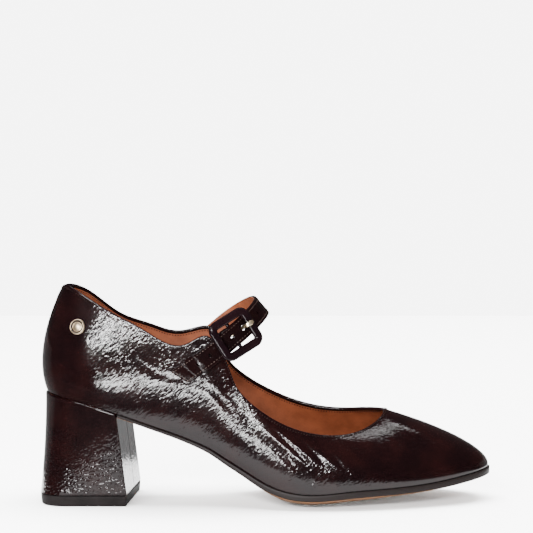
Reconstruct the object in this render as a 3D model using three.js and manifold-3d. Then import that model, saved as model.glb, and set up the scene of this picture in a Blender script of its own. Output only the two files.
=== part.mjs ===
import * as THREE from 'three';
import { mergeVertices } from 'three/addons/utils/BufferGeometryUtils.js';
import Module from 'manifold-3d';

const wasm = await Module();
wasm.setup();

// A right mary jane shoe on a block heel, empty and standing on its sole.
// Millimetres, +Z up, toe towards +X, the outer side of the foot towards -Y. While the shoe
// is built, x runs from behind the heel and z from the floor; the finished group is then
// moved so that its origin is the middle of its footprint.

// Last sizes
const LENGTH = 240;
const BALL_WIDTH = 78;
const SEAT_WIDTH = 52;
const COLLAR_WIDTH = 53;
const HEEL_HEIGHT = 58.5;
const TOE_SPRING = 9.2;
const BACK_HEIGHT = 57;
const THROAT_HEIGHT = 30;

// Wall and bottom sizes
const WALL = 1.8;
const SOLE_THICKNESS = 3.4;
const SHANK_THICKNESS = 1.7;
const EDGE_LIFT = 4.7;
const SOLE_PROUD = 1;
const INSOLE_THICKNESS = 2.4;
const GAP = 0.3;
const LAP_GAP = 0.5;

// Heel block sizes
const BREAST_TOP = 43.2;
const BREAST_BOTTOM = 48.2;
const BREAST_SKEW = 0.085;
const HEEL_BOTTOM_WIDTH = 50;
const HEEL_BACK = -1;
const HEEL_PROUD = 0.9;
const HEEL_WAIST = 0.7;
const CORNER_SHARE = 0.38;
const TOP_PIECE_THICKNESS = 5.5;
const TOP_PIECE_TAPER = 0.5;

// Strap, buckle and stud sizes
const STRAP_ANGLE = 40.4;
const STRAP_WIDTH = 11.2;
const STRAP_THICKNESS = 1.8;
const STRAP_RISE = 31;
const STRAP_TAIL = 24;
const TAIL_SLANT = 0.35;
const TAIL_DRIFT = -1.9;
const STRAP_END = 15;
const STRAP_RAMP = 5;
const STRAP_SHIFT = -0.7;
const INNER_SHIFT = -3.5;
const HOLE_PITCH = 7.5;
const HOLES_BELOW = 4;
const HOLES_ABOVE = 2;
const HOLE_RADIUS = 1;
const PRONG_HOLE_LENGTH = 3.4;
const BUCKLE_LENGTH = 24.2;
const BUCKLE_WIDTH = 22.7;
const BUCKLE_BAR = 4.5;
const BUCKLE_THICKNESS = 3;
const BUCKLE_CORNER = 5.2;
const BUCKLE_OUT = 12.8;
const BUCKLE_TILT = 18;
const BUCKLE_TURN = 8.9;
const BAR_SIDES = 10;
const BUCKLE_STAND = 2.9;
const CENTRE_BAR_RADIUS = 1;
const CENTRE_BAR_DROP = 5;
const TAB_WIDTH = 10.8;
const TAB_THICKNESS = 1.5;
const TAB_LAP = 12;
const PRONG_WIDTH = 2.2;
const PRONG_THICKNESS = 1.2;
const PRONG_SETBACK = 1.7;
const PRONG_SHORT = 1;
const STUD_DIAMETER = 8.3;
const STUD_THICKNESS = 1.9;
const STUD_X = 20.9;
const STUD_DROP = 21.2;

// Heights that follow from the sizes above
const FOREFOOT_HEIGHT = EDGE_LIFT + SOLE_THICKNESS + GAP;
const SEAT_RISE = HEEL_HEIGHT - FOREFOOT_HEIGHT;

// The upper, a ring of sections that starts at the heel back and runs round by the outer side,
// the toe and the inner side. x is a share of LENGTH, y of the half width at the sole and of
// the half COLLAR_WIDTH at the rim. seat says how much of a section belongs to the heel seat
// rather than to the ball, spring is a share of TOE_SPRING, and rise is the height of the wall
// as a share of BACK_HEIGHT and THROAT_HEIGHT mixed by seat. The last four columns bend the
// wall's curve, as shares of that height: out and up from the sole, out and down from the rim.
const SECTION_COLUMNS = ['name', 'x', 'y', 'seat', 'spring', 'rimX', 'rimY', 'rise',
  'lowOut', 'lowUp', 'highOut', 'highDown'];
const SECTIONS = [
  ['heel back', 0.010, 0.000, 1.000, 0.000, 0.048, 0.000, 0.998, 0.121, 0.290, 0.160, 0.271],
  ['heel corner', 0.030, -0.554, 0.988, 0.000, 0.057, -0.340, 1.025, 0.107, 0.275, 0.129, 0.310],
  ['heel side', 0.079, -0.899, 0.946, 0.000, 0.094, -0.623, 1.005, 0.086, 0.287, 0.093, 0.323],
  ['seat front', 0.158, -0.973, 0.842, 0.000, 0.164, -0.860, 0.972, 0.074, 0.294, 0.074, 0.315],
  ['waist rear', 0.242, -0.854, 0.695, 0.000, 0.235, -0.955, 1.019, 0.097, 0.281, 0.061, 0.325],
  ['waist', 0.317, -0.789, 0.563, 0.000, 0.318, -0.996, 1.086, 0.112, 0.305, 0.051, 0.325],
  ['peak rear', 0.367, -0.788, 0.463, 0.000, 0.370, -0.992, 1.379, 0.094, 0.290, 0.041, 0.307],
  ['peak front', 0.404, -0.810, 0.359, 0.000, 0.415, -1.011, 1.222, 0.103, 0.309, 0.058, 0.309],
  ['throat rear', 0.446, -0.842, 0.240, 0.000, 0.433, -1.057, 1.193, 0.103, 0.299, 0.069, 0.299],
  ['throat side', 0.508, -0.892, 0.076, 0.000, 0.481, -1.125, 1.254, 0.087, 0.299, 0.100, 0.274],
  ['ball', 0.592, -0.949, 0.000, 0.000, 0.548, -1.143, 1.163, 0.072, 0.315, 0.143, 0.258],
  ['ball front', 0.675, -0.936, 0.000, 0.163, 0.615, -1.057, 0.970, 0.076, 0.344, 0.241, 0.241],
  ['vamp side', 0.758, -0.841, 0.000, 0.283, 0.677, -0.830, 0.917, 0.073, 0.335, 0.364, 0.215],
  ['vamp corner', 0.846, -0.672, 0.000, 0.435, 0.726, -0.472, 0.973, 0.068, 0.290, 0.505, 0.215],
  ['toe side', 0.921, -0.472, 0.000, 0.696, 0.751, -0.170, 1.013, 0.066, 0.270, 0.705, 0.270],
  ['toe corner', 0.972, -0.251, 0.000, 0.924, 0.758, -0.019, 1.003, 0.066, 0.262, 0.960, 0.305],
  ['toe tip', 0.994, 0.090, 0.000, 1.000, 0.760, 0.113, 1.010, 0.073, 0.265, 1.120, 0.310],
  ['inner toe corner', 0.976, 0.372, 0.000, 0.924, 0.758, 0.238, 1.037, 0.064, 0.255, 0.930, 0.300],
  ['inner toe side', 0.938, 0.590, 0.000, 0.739, 0.748, 0.377, 1.090, 0.061, 0.255, 0.655, 0.260],
  ['inner vamp corner', 0.871, 0.795, 0.000, 0.489, 0.723, 0.596, 1.150, 0.058, 0.250, 0.430, 0.190],
  ['inner vamp side', 0.792, 0.954, 0.000, 0.315, 0.681, 0.830, 1.170, 0.057, 0.271, 0.285, 0.157],
  ['inner ball front', 0.708, 1.021, 0.000, 0.174, 0.625, 1.000, 1.227, 0.060, 0.272, 0.190, 0.190],
  ['inner ball', 0.625, 0.949, 0.000, 0.000, 0.560, 1.079, 1.400, 0.071, 0.286, 0.119, 0.214],
  ['inner throat side', 0.542, 0.787, 0.020, 0.000, 0.496, 1.072, 1.559, 0.095, 0.273, 0.084, 0.231],
  ['inner throat rear', 0.467, 0.669, 0.182, 0.000, 0.444, 1.026, 1.355, 0.127, 0.317, 0.063, 0.275],
  ['inner peak front', 0.408, 0.609, 0.347, 0.000, 0.402, 1.004, 1.288, 0.138, 0.335, 0.055, 0.296],
  ['inner peak rear', 0.358, 0.595, 0.479, 0.000, 0.370, 0.992, 1.352, 0.126, 0.302, 0.040, 0.302],
  ['inner waist', 0.308, 0.623, 0.579, 0.000, 0.308, 0.996, 1.120, 0.138, 0.316, 0.049, 0.316],
  ['inner waist rear', 0.237, 0.717, 0.703, 0.000, 0.235, 0.955, 0.992, 0.116, 0.295, 0.059, 0.316],
  ['inner seat front', 0.158, 0.852, 0.842, 0.000, 0.164, 0.860, 0.914, 0.089, 0.298, 0.074, 0.319],
  ['inner heel side', 0.079, 0.846, 0.946, 0.000, 0.094, 0.623, 1.005, 0.088, 0.292, 0.095, 0.328],
  ['inner heel corner', 0.030, 0.535, 0.988, 0.000, 0.057, 0.340, 1.015, 0.108, 0.278, 0.130, 0.313],
].map((row) => Object.fromEntries(row.map((value, i) => [SECTION_COLUMNS[i], value])));

// Bottom of the sole: how far its middle hangs below its edge, as a share of EDGE_LIFT
const CROWN_COLUMNS = ['x', 'crown'];
const CROWNS = [
  [0.18, 0.10],
  [0.33, 0.15],
  [0.45, 0.45],
  [0.55, 1.25],
  [0.69, 1.35],
  [0.80, 0.95],
  [0.92, 0.45],
  [1.00, 0.15],
].map((row) => Object.fromEntries(row.map((value, i) => [CROWN_COLUMNS[i], value])));

const vec = (x, y, z) => new THREE.Vector3(x, y, z);
const mix = THREE.MathUtils.lerp;
const rad = THREE.MathUtils.degToRad;

// Closed curve with continuous bend through numbers given at rising places. Its second
// derivatives are found by repeated sweeps round the ring.
function ringSpline(places, values, period) {
  const n = values.length;
  const step = places.map((p, i) => (i + 1 < n ? places[i + 1] : period) - p);
  const slope = values.map((v, i) => (values[(i + 1) % n] - v) / step[i]);
  const bend = new Array(n).fill(0);
  for (let sweep = 0; sweep < 80; sweep += 1) {
    for (let i = 0; i < n; i += 1) {
      const before = (i + n - 1) % n;
      const after = (i + 1) % n;
      const pull = 6 * (slope[i] - slope[before]);
      const sides = step[before] * bend[before] + step[i] * bend[after];
      bend[i] = (pull - sides) / (2 * (step[before] + step[i]));
    }
  }
  return (place) => {
    const at = ((place % period) + period) % period;
    let i = n - 1;
    while (places[i] > at) i -= 1;
    const j = (i + 1) % n;
    const right = at - places[i];
    const left = step[i] - right;
    const curve = (bend[i] * left ** 3 + bend[j] * right ** 3) / (6 * step[i]);
    const lineLeft = (values[i] / step[i] - (bend[i] * step[i]) / 6) * left;
    const lineRight = (values[j] / step[i] - (bend[j] * step[i]) / 6) * right;
    return curve + lineLeft + lineRight;
  };
}

// Four bend points of one section's wall, from the sole to the rim
function sectionPoints(row, i) {
  const halfWidth = mix(BALL_WIDTH, SEAT_WIDTH, row.seat) / 2;
  const footZ = FOREFOOT_HEIGHT + row.seat * SEAT_RISE + row.spring * TOE_SPRING;
  const height = row.rise * mix(THROAT_HEIGHT, BACK_HEIGHT, row.seat);
  const foot = vec(row.x * LENGTH, row.y * halfWidth, footZ);
  const rim = vec(row.rimX * LENGTH, (row.rimY * COLLAR_WIDTH) / 2, footZ + height);
  const place = (other) => {
    const half = mix(BALL_WIDTH, SEAT_WIDTH, other.seat) / 2;
    return vec(other.x * LENGTH, other.y * half, 0);
  };
  const n = SECTIONS.length;
  const along = place(SECTIONS[(i + 1) % n]).sub(place(SECTIONS[(i + n - 1) % n])).normalize();
  const out = vec(along.y, -along.x, 0);
  const low = foot.clone().addScaledVector(out, row.lowOut * height);
  low.z += row.lowUp * height;
  const high = rim.clone().addScaledVector(out, row.highOut * height);
  high.z -= row.highDown * height;
  return [foot, low, high, rim];
}

const wallRows = SECTIONS.map(sectionPoints);
const ringPlaces = [0];
for (let i = 0; i < wallRows.length; i += 1) {
  const next = wallRows[(i + 1) % wallRows.length];
  const chord = (wallRows[i][0].distanceTo(next[0]) + wallRows[i][3].distanceTo(next[3])) / 2;
  ringPlaces.push(ringPlaces[i] + chord);
}
const RING = ringPlaces.pop();
const ringCurves = [0, 1, 2, 3].map((k) => ['x', 'y', 'z'].map((axis) => (
  ringSpline(ringPlaces, wallRows.map((points) => points[k][axis]), RING))));

// Point of the upper's outer face: s runs round the ring, t from the sole to the rim
function wallPoint(s, t) {
  const weights = [(1 - t) ** 3, 3 * (1 - t) ** 2 * t, 3 * (1 - t) * t ** 2, t ** 3];
  const point = vec(0, 0, 0);
  ringCurves.forEach((curves, k) => {
    point.addScaledVector(vec(curves[0](s), curves[1](s), curves[2](s)), weights[k]);
  });
  return point;
}

function wallNormal(s, t) {
  const small = 0.002;
  const around = wallPoint(s + small * LENGTH, t).sub(wallPoint(s - small * LENGTH, t));
  const up = wallPoint(s, Math.min(t + small, 1)).sub(wallPoint(s, Math.max(t - small, 0)));
  return around.cross(up).normalize();
}

const innerPoint = (s, t) => wallPoint(s, t).addScaledVector(wallNormal(s, t), -WALL);

// Place on the outer face that has a given x and z, on the outer (-1) or inner (+1) side
function wallTouch(x, z, side) {
  const [ringSteps, riseSteps] = [128, 16];
  let best = null;
  for (let i = 0; i < ringSteps; i += 1) {
    for (let j = 0; j <= riseSteps; j += 1) {
      const point = wallPoint((i / ringSteps) * RING, j / riseSteps);
      const miss = (point.x - x) ** 2 + (point.z - z) ** 2;
      const beyond = point.y * side < 0 ? LENGTH ** 2 : 0;
      if (!best || miss + beyond < best.miss) {
        best = { s: (i / ringSteps) * RING, t: j / riseSteps, miss: miss + beyond };
      }
    }
  }
  let { s, t } = best;
  const corrections = 12;
  const ds = 0.01;
  const dt = 0.0005;
  for (let pass = 0; pass < corrections; pass += 1) {
    const here = wallPoint(s, t);
    const bySide = wallPoint(s + ds, t).sub(here).divideScalar(ds);
    const byRise = wallPoint(s, t + dt).sub(here).divideScalar(dt);
    const det = bySide.x * byRise.z - byRise.x * bySide.z;
    const dx = x - here.x;
    const dz = z - here.z;
    s += (dx * byRise.z - dz * byRise.x) / det;
    t += (dz * bySide.x - dx * bySide.z) / det;
  }
  return { s, t, point: wallPoint(s, t), normal: wallNormal(s, t) };
}

// Geometry from rows of points that close on themselves. With closed ends the last row joins
// the first; otherwise both end rows are capped, each as strips between its two halves.
function skin(rows, closed) {
  const count = rows[0].length;
  const positions = rows.flat().flatMap((p) => [p.x, p.y, p.z]);
  const index = [];
  const last = closed ? rows.length : rows.length - 1;
  for (let i = 0; i < last; i += 1) {
    const next = (i + 1) % rows.length;
    for (let j = 0; j < count; j += 1) {
      const side = (j + 1) % count;
      const a = i * count + j;
      const b = i * count + side;
      const c = next * count + side;
      const d = next * count + j;
      index.push(a, b, c, a, c, d);
    }
  }
  const cap = (start, flip) => {
    for (let left = 0, right = count - 1; left + 1 < right; left += 1, right -= 1) {
      const corners = [left, right, right - 1, left + 1].map((v) => v + start);
      const faces = left + 2 < right ? [[0, 1, 2], [0, 2, 3]] : [[0, 1, 2]];
      faces.forEach((face) => {
        const turned = flip ? [face[0], face[2], face[1]] : face;
        index.push(...turned.map((corner) => corners[corner]));
      });
    }
  };
  if (!closed) {
    cap(0, false);
    cap((rows.length - 1) * count, true);
  }
  const geometry = new THREE.BufferGeometry();
  geometry.setAttribute('position', new THREE.Float32BufferAttribute(positions, 3));
  geometry.setIndex(index);
  return facingOut(geometry);
}

// Turns every face round when the volume comes out negative
function facingOut(geometry) {
  const points = geometry.getAttribute('position');
  const index = Array.from(geometry.getIndex().array);
  let volume = 0;
  const [a, b, c] = [vec(), vec(), vec()];
  for (let i = 0; i < index.length; i += 3) {
    a.fromBufferAttribute(points, index[i]);
    b.fromBufferAttribute(points, index[i + 1]);
    c.fromBufferAttribute(points, index[i + 2]);
    volume += a.dot(b.cross(c));
  }
  if (volume < 0) {
    for (let i = 0; i < index.length; i += 3) {
      [index[i + 1], index[i + 2]] = [index[i + 2], index[i + 1]];
    }
    geometry.setIndex(index);
  }
  return geometry;
}

// Solids for joining and cutting, and back
function solid(geometry) {
  const bare = geometry.clone();
  bare.deleteAttribute('normal');
  bare.deleteAttribute('uv');
  const merged = mergeVertices(bare, 1e-4);
  return new wasm.Manifold(new wasm.Mesh({
    numProp: 3,
    vertProperties: new Float32Array(merged.getAttribute('position').array),
    triVerts: new Uint32Array(merged.getIndex().array),
  }));
}

function fromSolid(body) {
  const mesh = body.getMesh();
  const geometry = new THREE.BufferGeometry();
  geometry.setAttribute('position', new THREE.BufferAttribute(mesh.vertProperties, 3));
  geometry.setIndex(new THREE.BufferAttribute(mesh.triVerts, 1));
  return geometry;
}

function finished(geometry, name, colour, roughness, metalness) {
  const sharp = geometry.toNonIndexed();
  sharp.computeVertexNormals();
  const material = new THREE.MeshStandardMaterial({ color: colour, roughness, metalness });
  material.name = name;
  const mesh = new THREE.Mesh(sharp, material);
  mesh.name = name;
  return mesh;
}

// Upper: outer wall up, over the rim and down the inner wall, closed round the ring
function upperGeometry() {
  const outer = [0, 0.07, 0.15, 0.24, 0.34, 0.45, 0.56, 0.67, 0.78, 0.88, 0.95, 1];
  const inner = [1, 0.9, 0.78, 0.62, 0.45, 0.3, 0.16, 0.07, 0];
  const perSection = 3;
  const rows = [];
  for (let i = 0; i < SECTIONS.length; i += 1) {
    const start = ringPlaces[i];
    const end = i + 1 < SECTIONS.length ? ringPlaces[i + 1] : RING;
    for (let k = 0; k < perSection; k += 1) {
      const s = mix(start, end, k / perSection);
      rows.push([...outer.map((t) => wallPoint(s, t)), ...inner.map((t) => innerPoint(s, t))]);
    }
  }
  return skin(rows, true);
}

// Line where the upper meets the sole, moved out or in by an offset and sampled all round
function footLine(offset) {
  const count = 480;
  return Array.from({ length: count }, (unused, i) => {
    const s = (i / count) * RING;
    const along = wallPoint(s + 0.5, 0).sub(wallPoint(s - 0.5, 0)).setZ(0).normalize();
    return wallPoint(s, 0).add(vec(along.y, -along.x, 0).multiplyScalar(offset));
  });
}

// Outer and inner edge of a foot line where it crosses a station, which may lie askew
function edgesAt(line, x, skew) {
  const crossings = [];
  line.forEach((point, i) => {
    const next = line[(i + 1) % line.length];
    const here = point.x - skew * point.y - x;
    const there = next.x - skew * next.y - x;
    if (here * there < 0 || here === 0) {
      crossings.push(point.clone().lerp(next, here / (here - there)));
    }
  });
  crossings.sort((a, b) => a.y - b.y);
  return [crossings[0], crossings[crossings.length - 1]];
}

// Stations that crowd towards rounded ends
function stations(start, end, count, roundStart, roundEnd) {
  return Array.from({ length: count + 1 }, (unused, i) => {
    const u = i / count;
    const bothRound = (1 - Math.cos(Math.PI * u)) / 2;
    const endRound = Math.sin((Math.PI * u) / 2);
    let share = u;
    if (roundStart && roundEnd) share = bothRound;
    else if (roundEnd) share = endRound;
    return mix(start, end, share);
  });
}

function lineEnds(line) {
  const xs = line.map((point) => point.x);
  return [Math.min(...xs), Math.max(...xs)];
}

function crownAt(x) {
  const share = x / LENGTH;
  let i = 0;
  while (i + 2 < CROWNS.length && CROWNS[i + 1].x < share) i += 1;
  const u = THREE.MathUtils.clamp((share - CROWNS[i].x) / (CROWNS[i + 1].x - CROWNS[i].x), 0, 1);
  return mix(CROWNS[i].crown, CROWNS[i + 1].crown, u) * EDGE_LIFT;
}

// Outsole: from the heel breast to the toe, thin at the shank, with a crowned underside that
// the floor cuts flat under the ball
function outsoleGeometry() {
  const line = footLine(SOLE_PROUD);
  const [, toe] = lineEnds(line);
  const tip = 0.15;
  const lean = (BREAST_BOTTOM - BREAST_TOP) / HEEL_HEIGHT;
  const rearEdge = BREAST_TOP + LAP_GAP + 2 * SHANK_THICKNESS * lean;
  const bevel = 0.5;
  const rows = stations(rearEdge, toe - tip, 34, false, true).map((x) => {
    const fromRear = (x - rearEdge) / (toe - rearEdge);
    const skew = BREAST_SKEW * Math.max(0, 1 - 3 * fromRear);
    const [near, far] = edgesAt(line, x, skew);
    near.z -= GAP;
    far.z -= GAP;
    const slope = THREE.MathUtils.smoothstep(fromRear, 0.12, 0.45);
    const thickness = mix(SHANK_THICKNESS, SOLE_THICKNESS, slope);
    const width = far.y - near.y;
    const edgeBevel = Math.min(bevel, width / 8);
    const crown = crownAt(x) * Math.min(1, width / (BALL_WIDTH / 2));
    const across = (v, drop) => near.clone().lerp(far, v).add(vec(0, 0, -drop));
    const shares = [1, 0.86, 0.68, 0.5, 0.32, 0.14, 0];
    const under = shares.map((v) => {
      const inset = mix(edgeBevel / width, 1 - edgeBevel / width, v);
      return across(inset, thickness + crown * (1 - (2 * v - 1) ** 2));
    });
    return [
      across(0, edgeBevel / 2), across(edgeBevel / width, 0), across(1 - edgeBevel / width, 0),
      across(1, edgeBevel / 2), across(1, thickness - edgeBevel), ...under,
      across(0, thickness - edgeBevel),
    ];
  });
  const depth = 40;
  const floor = new THREE.BoxGeometry(2 * LENGTH, 2 * LENGTH, depth);
  floor.translate(LENGTH / 2, 0, -depth / 2);
  return fromSolid(solid(skin(turned(rows), false)).subtract(solid(floor)));
}

// Starts each row half way down its near edge, so that the caps run across in thin strips
function turned(rows) {
  return rows.map((row) => [...row.slice(1), row[0]]);
}

// Insole: lies on the outsole and the heel seat, inside the wall
function insoleGeometry() {
  const inset = WALL + 2 * GAP;
  const line = footLine(-inset);
  const [back, toe] = lineEnds(line);
  const tip = 0.2;
  const rows = stations(back + tip, toe - tip, 40, true, true).map((x) => {
    const [near, far] = edgesAt(line, x, 0);
    const across = (v, up) => near.clone().lerp(far, v).add(vec(0, 0, up));
    const bottom = 0;
    const top = INSOLE_THICKNESS;
    return [
      across(0, bottom), across(0.5, bottom), across(1, bottom), across(1, top * 0.75),
      across(0.97, top), across(0.5, top), across(0.03, top), across(0, top * 0.75),
    ];
  });
  return skin(turned(rows), false);
}

// Half outline of the heel block's foot, a D with rounded back corners
function heelBottom(u, side) {
  const power = 3;
  const inCorner = Math.min(u / CORNER_SHARE, 1);
  const half = (HEEL_BOTTOM_WIDTH / 2) * (1 - (1 - inCorner) ** power) ** (1 / power);
  const y = side * half;
  return vec(mix(HEEL_BACK, BREAST_BOTTOM, u) + u * BREAST_SKEW * y, y, 0);
}

const CORNER_STEPS = 8;
const SIDE_STEPS = 6;
const HEEL_SHARES = Array.from({ length: CORNER_STEPS + SIDE_STEPS + 1 }, (unused, i) => {
  const turn = (Math.PI / 2) * ((i + 0.35) / (CORNER_STEPS + 0.35));
  const side = mix(CORNER_SHARE, 1, (i - CORNER_STEPS) / SIDE_STEPS);
  return i <= CORNER_STEPS ? CORNER_SHARE * (1 - Math.cos(turn)) : side;
});

const HEEL_LINE = footLine(HEEL_PROUD);

function heelRing(level, z) {
  const line = HEEL_LINE;
  const [back] = lineEnds(line);
  const pull = HEEL_WAIST * 4 * level * (1 - level);
  const points = [-1, 1].map((side) => HEEL_SHARES.map((u) => {
    const bottom = heelBottom(u, side);
    const [near, far] = edgesAt(line, mix(back, BREAST_TOP, u), u * BREAST_SKEW);
    const top = side < 0 ? near : far;
    top.z -= GAP;
    const point = bottom.lerp(top, level);
    point.y -= side * pull;
    point.x += pull * (1 - u);
    point.z = z === null ? mix(TOP_PIECE_THICKNESS + GAP, top.z, level) : z;
    return point;
  }));
  return [...points[0], ...points[1].reverse()];
}

// Heel block: a D that leans from the top piece up to the seat
function heelGeometry() {
  const levels = [0, 0.25, 0.5, 0.75, 1];
  return skin(levels.map((level) => heelRing(level, null)), false);
}

function topPieceGeometry() {
  const shrink = (ring, by) => ring.map((p) => {
    const centre = vec((HEEL_BACK + BREAST_BOTTOM) / 2, 0, p.z);
    return p.clone().lerp(centre, by / (HEEL_BOTTOM_WIDTH / 2));
  });
  return skin([
    shrink(heelRing(0, 0), TOP_PIECE_TAPER),
    heelRing(0, TOP_PIECE_THICKNESS),
  ], false);
}

// Strap frame: q runs up the strap's slope in the plane of the shoe's length, w across its width
const slopeDir = vec(Math.cos(rad(STRAP_ANGLE)), 0, Math.sin(rad(STRAP_ANGLE)));
const widthDir = vec(Math.sin(rad(STRAP_ANGLE)), 0, -Math.cos(rad(STRAP_ANGLE)));
const rimMiddle = (rear, front) => {
  const find = (name) => wallRows[SECTIONS.findIndex((row) => row.name === name)][3];
  return find(rear).clone().lerp(find(front), 0.5);
};
const peak = rimMiddle('peak rear', 'peak front');
const innerPeak = rimMiddle('inner peak rear', 'inner peak front');
const peakQ = peak.dot(slopeDir);
const innerQ = innerPeak.dot(slopeDir);
const outerW = peak.dot(widthDir) + STRAP_SHIFT;
const innerW = innerPeak.dot(widthDir) + INNER_SHIFT;

const atStrap = (q, y, w) => slopeDir.clone().multiplyScalar(q).addScaledVector(widthDir, w).setY(y);

// Height of the wall's outer face under a place of the strap, no higher than the rim
function wallUnder(q, w, side) {
  const place = atStrap(q, 0, w);
  return wallTouch(place.x, place.z, side).point.y;
}

// Buckle frame: a runs up the strap, n stands out of the shoe, w is the strap's width
const tilt = rad(BUCKLE_TILT);
const layer = LAP_GAP + TAB_THICKNESS + LAP_GAP + STRAP_THICKNESS;
const buckleCentre = atStrap(peakQ + BUCKLE_OUT, peak.y - BUCKLE_STAND, outerW);
const alongDir = slopeDir.clone().multiplyScalar(Math.cos(tilt)).add(vec(0, Math.sin(tilt), 0));
const standDir = slopeDir.clone().multiplyScalar(Math.sin(tilt)).add(vec(0, -Math.cos(tilt), 0));
const atBuckle = (a, n, w) => buckleCentre.clone().addScaledVector(alongDir, a)
  .addScaledVector(standDir, n).addScaledVector(widthDir, w);

// Frame of the metal, turned a little against the strap that runs through it
const swing = rad(BUCKLE_TURN);
const turnedAlong = alongDir.clone().multiplyScalar(Math.cos(swing))
  .addScaledVector(widthDir, Math.sin(swing));
const turnedWidth = widthDir.clone().multiplyScalar(Math.cos(swing))
  .addScaledVector(alongDir, -Math.sin(swing));
const toBuckle = new THREE.Matrix4().makeBasis(turnedAlong, turnedWidth.clone().negate(), standDir)
  .setPosition(buckleCentre);

// The prong comes through the strap this far up the buckle, and lies aside to meet its middle
const prongReach = BUCKLE_LENGTH / 2 - BUCKLE_BAR - PRONG_SETBACK;
const prongSide = prongReach * Math.sin(swing);
const atMetal = (a, n, w) => buckleCentre.clone().addScaledVector(turnedAlong, a)
  .addScaledVector(standDir, n).addScaledVector(turnedWidth, w);

// The strap's tail and the tab under it swing aside, evenly from the rim to the tail's end
const tailAside = (q) => (TAIL_DRIFT * (peakQ - q)) / STRAP_TAIL;

// Middle line of the strap at one place of its width, v from -1 to 1
function strapLine(v) {
  const half = (STRAP_WIDTH / 2) * v;
  const thick = STRAP_THICKNESS / 2;
  const barMiddle = (BUCKLE_LENGTH - BUCKLE_BAR) / 2;
  const underBar = -(BUCKLE_THICKNESS / 2 + LAP_GAP + GAP + thick);
  const overBar = CENTRE_BAR_RADIUS + GAP + TAB_THICKNESS + GAP + thick - CENTRE_BAR_DROP;
  const line = [];
  const tailEnd = peakQ - STRAP_TAIL + TAIL_SLANT * half;
  const tabEnd = peakQ - TAB_LAP;
  for (let k = 0; k <= 7; k += 1) {
    const q = mix(tailEnd, peakQ - 0.5, k / 7);
    const onTab = THREE.MathUtils.smoothstep(q, tabEnd - STRAP_RAMP, tabEnd + GAP);
    const lift = mix(LAP_GAP + thick, layer - thick, onTab);
    const w = outerW + half + tailAside(q);
    line.push(atStrap(q, wallUnder(q, w, -1) - lift, w));
  }
  line.push(atBuckle(-barMiddle, underBar, half));
  line.push(atBuckle(0, overBar, half));
  line.push(atBuckle(barMiddle, underBar, half));
  const span = innerPeak.y - peak.y;
  const crestQ = peakQ + STRAP_RISE;
  const rows = [
    { rise: 0.90, across: 0.26, drift: 0.05 },
    { rise: 1.00, across: 0.52, drift: 0.20 },
    { rise: 0.90, across: 0.78, drift: 0.55 },
    { rise: 0.62, across: 0.96, drift: 0.85 },
    { rise: 0.32, across: 1.02, drift: 1.00 },
  ];
  rows.forEach((row) => {
    const base = mix(peakQ, innerQ, row.across);
    const q = mix(base, crestQ, row.rise);
    line.push(atStrap(q, peak.y + span * row.across, mix(outerW, innerW, row.drift) + half));
  });
  for (let k = 0; k <= 4; k += 1) {
    const q = innerQ - 0.5 - STRAP_END * (k / 4);
    const y = wallUnder(q, innerW + half, 1) + LAP_GAP + thick;
    line.push(atStrap(q, y, innerW + half));
  }
  return new THREE.CatmullRomCurve3(line, false, 'centripetal');
}

function strapGeometry() {
  const lines = [-1, 0, 1].map(strapLine);
  const knots = lines[0].points.length - 1;
  const perKnot = 3;
  const rows = [];
  for (let i = 0; i <= knots * perKnot; i += 1) {
    const u = i / (knots * perKnot);
    const middle = lines.map((line) => line.getPoint(u));
    const out = lines.map((line) => {
      const along = line.getTangent(u);
      return along.cross(widthDir).normalize().multiplyScalar(STRAP_THICKNESS / 2);
    });
    rows.push([
      ...middle.map((p, k) => p.clone().add(out[k])),
      ...middle.map((p, k) => p.clone().sub(out[k])).reverse(),
    ]);
  }
  let body = solid(skin(rows, false));
  strapHoles(lines[1]).forEach((cut) => { body = body.subtract(solid(cut)); });
  return fromSolid(body);
}

// Round holes at one pitch along the strap, and the longer one that the prong comes through
function strapHoles(line) {
  const prongPlace = atBuckle(prongReach, 0, 0);
  const samples = 400;
  const points = line.getSpacedPoints(samples);
  const length = line.getLength();
  let nearest = 0;
  points.forEach((point, i) => {
    if (point.distanceTo(prongPlace) < points[nearest].distanceTo(prongPlace)) nearest = i;
  });
  const cuts = [];
  for (let k = -HOLES_BELOW; k <= HOLES_ABOVE; k += 1) {
    const u = nearest / samples + (k * HOLE_PITCH) / length;
    const along = line.getTangentAt(u);
    const out = along.clone().cross(widthDir).normalize();
    const reach = 3 * STRAP_THICKNESS;
    const hole = k === 0
      ? new THREE.BoxGeometry(PRONG_HOLE_LENGTH, PRONG_WIDTH + 2 * GAP, reach)
      : new THREE.CylinderGeometry(HOLE_RADIUS, HOLE_RADIUS, reach, 12).rotateX(Math.PI / 2);
    const across = out.clone().cross(along);
    hole.applyMatrix4(new THREE.Matrix4().makeBasis(along, across, out).setPosition(line.getPointAt(u)));
    cuts.push(hole);
  }
  return cuts;
}

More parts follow.
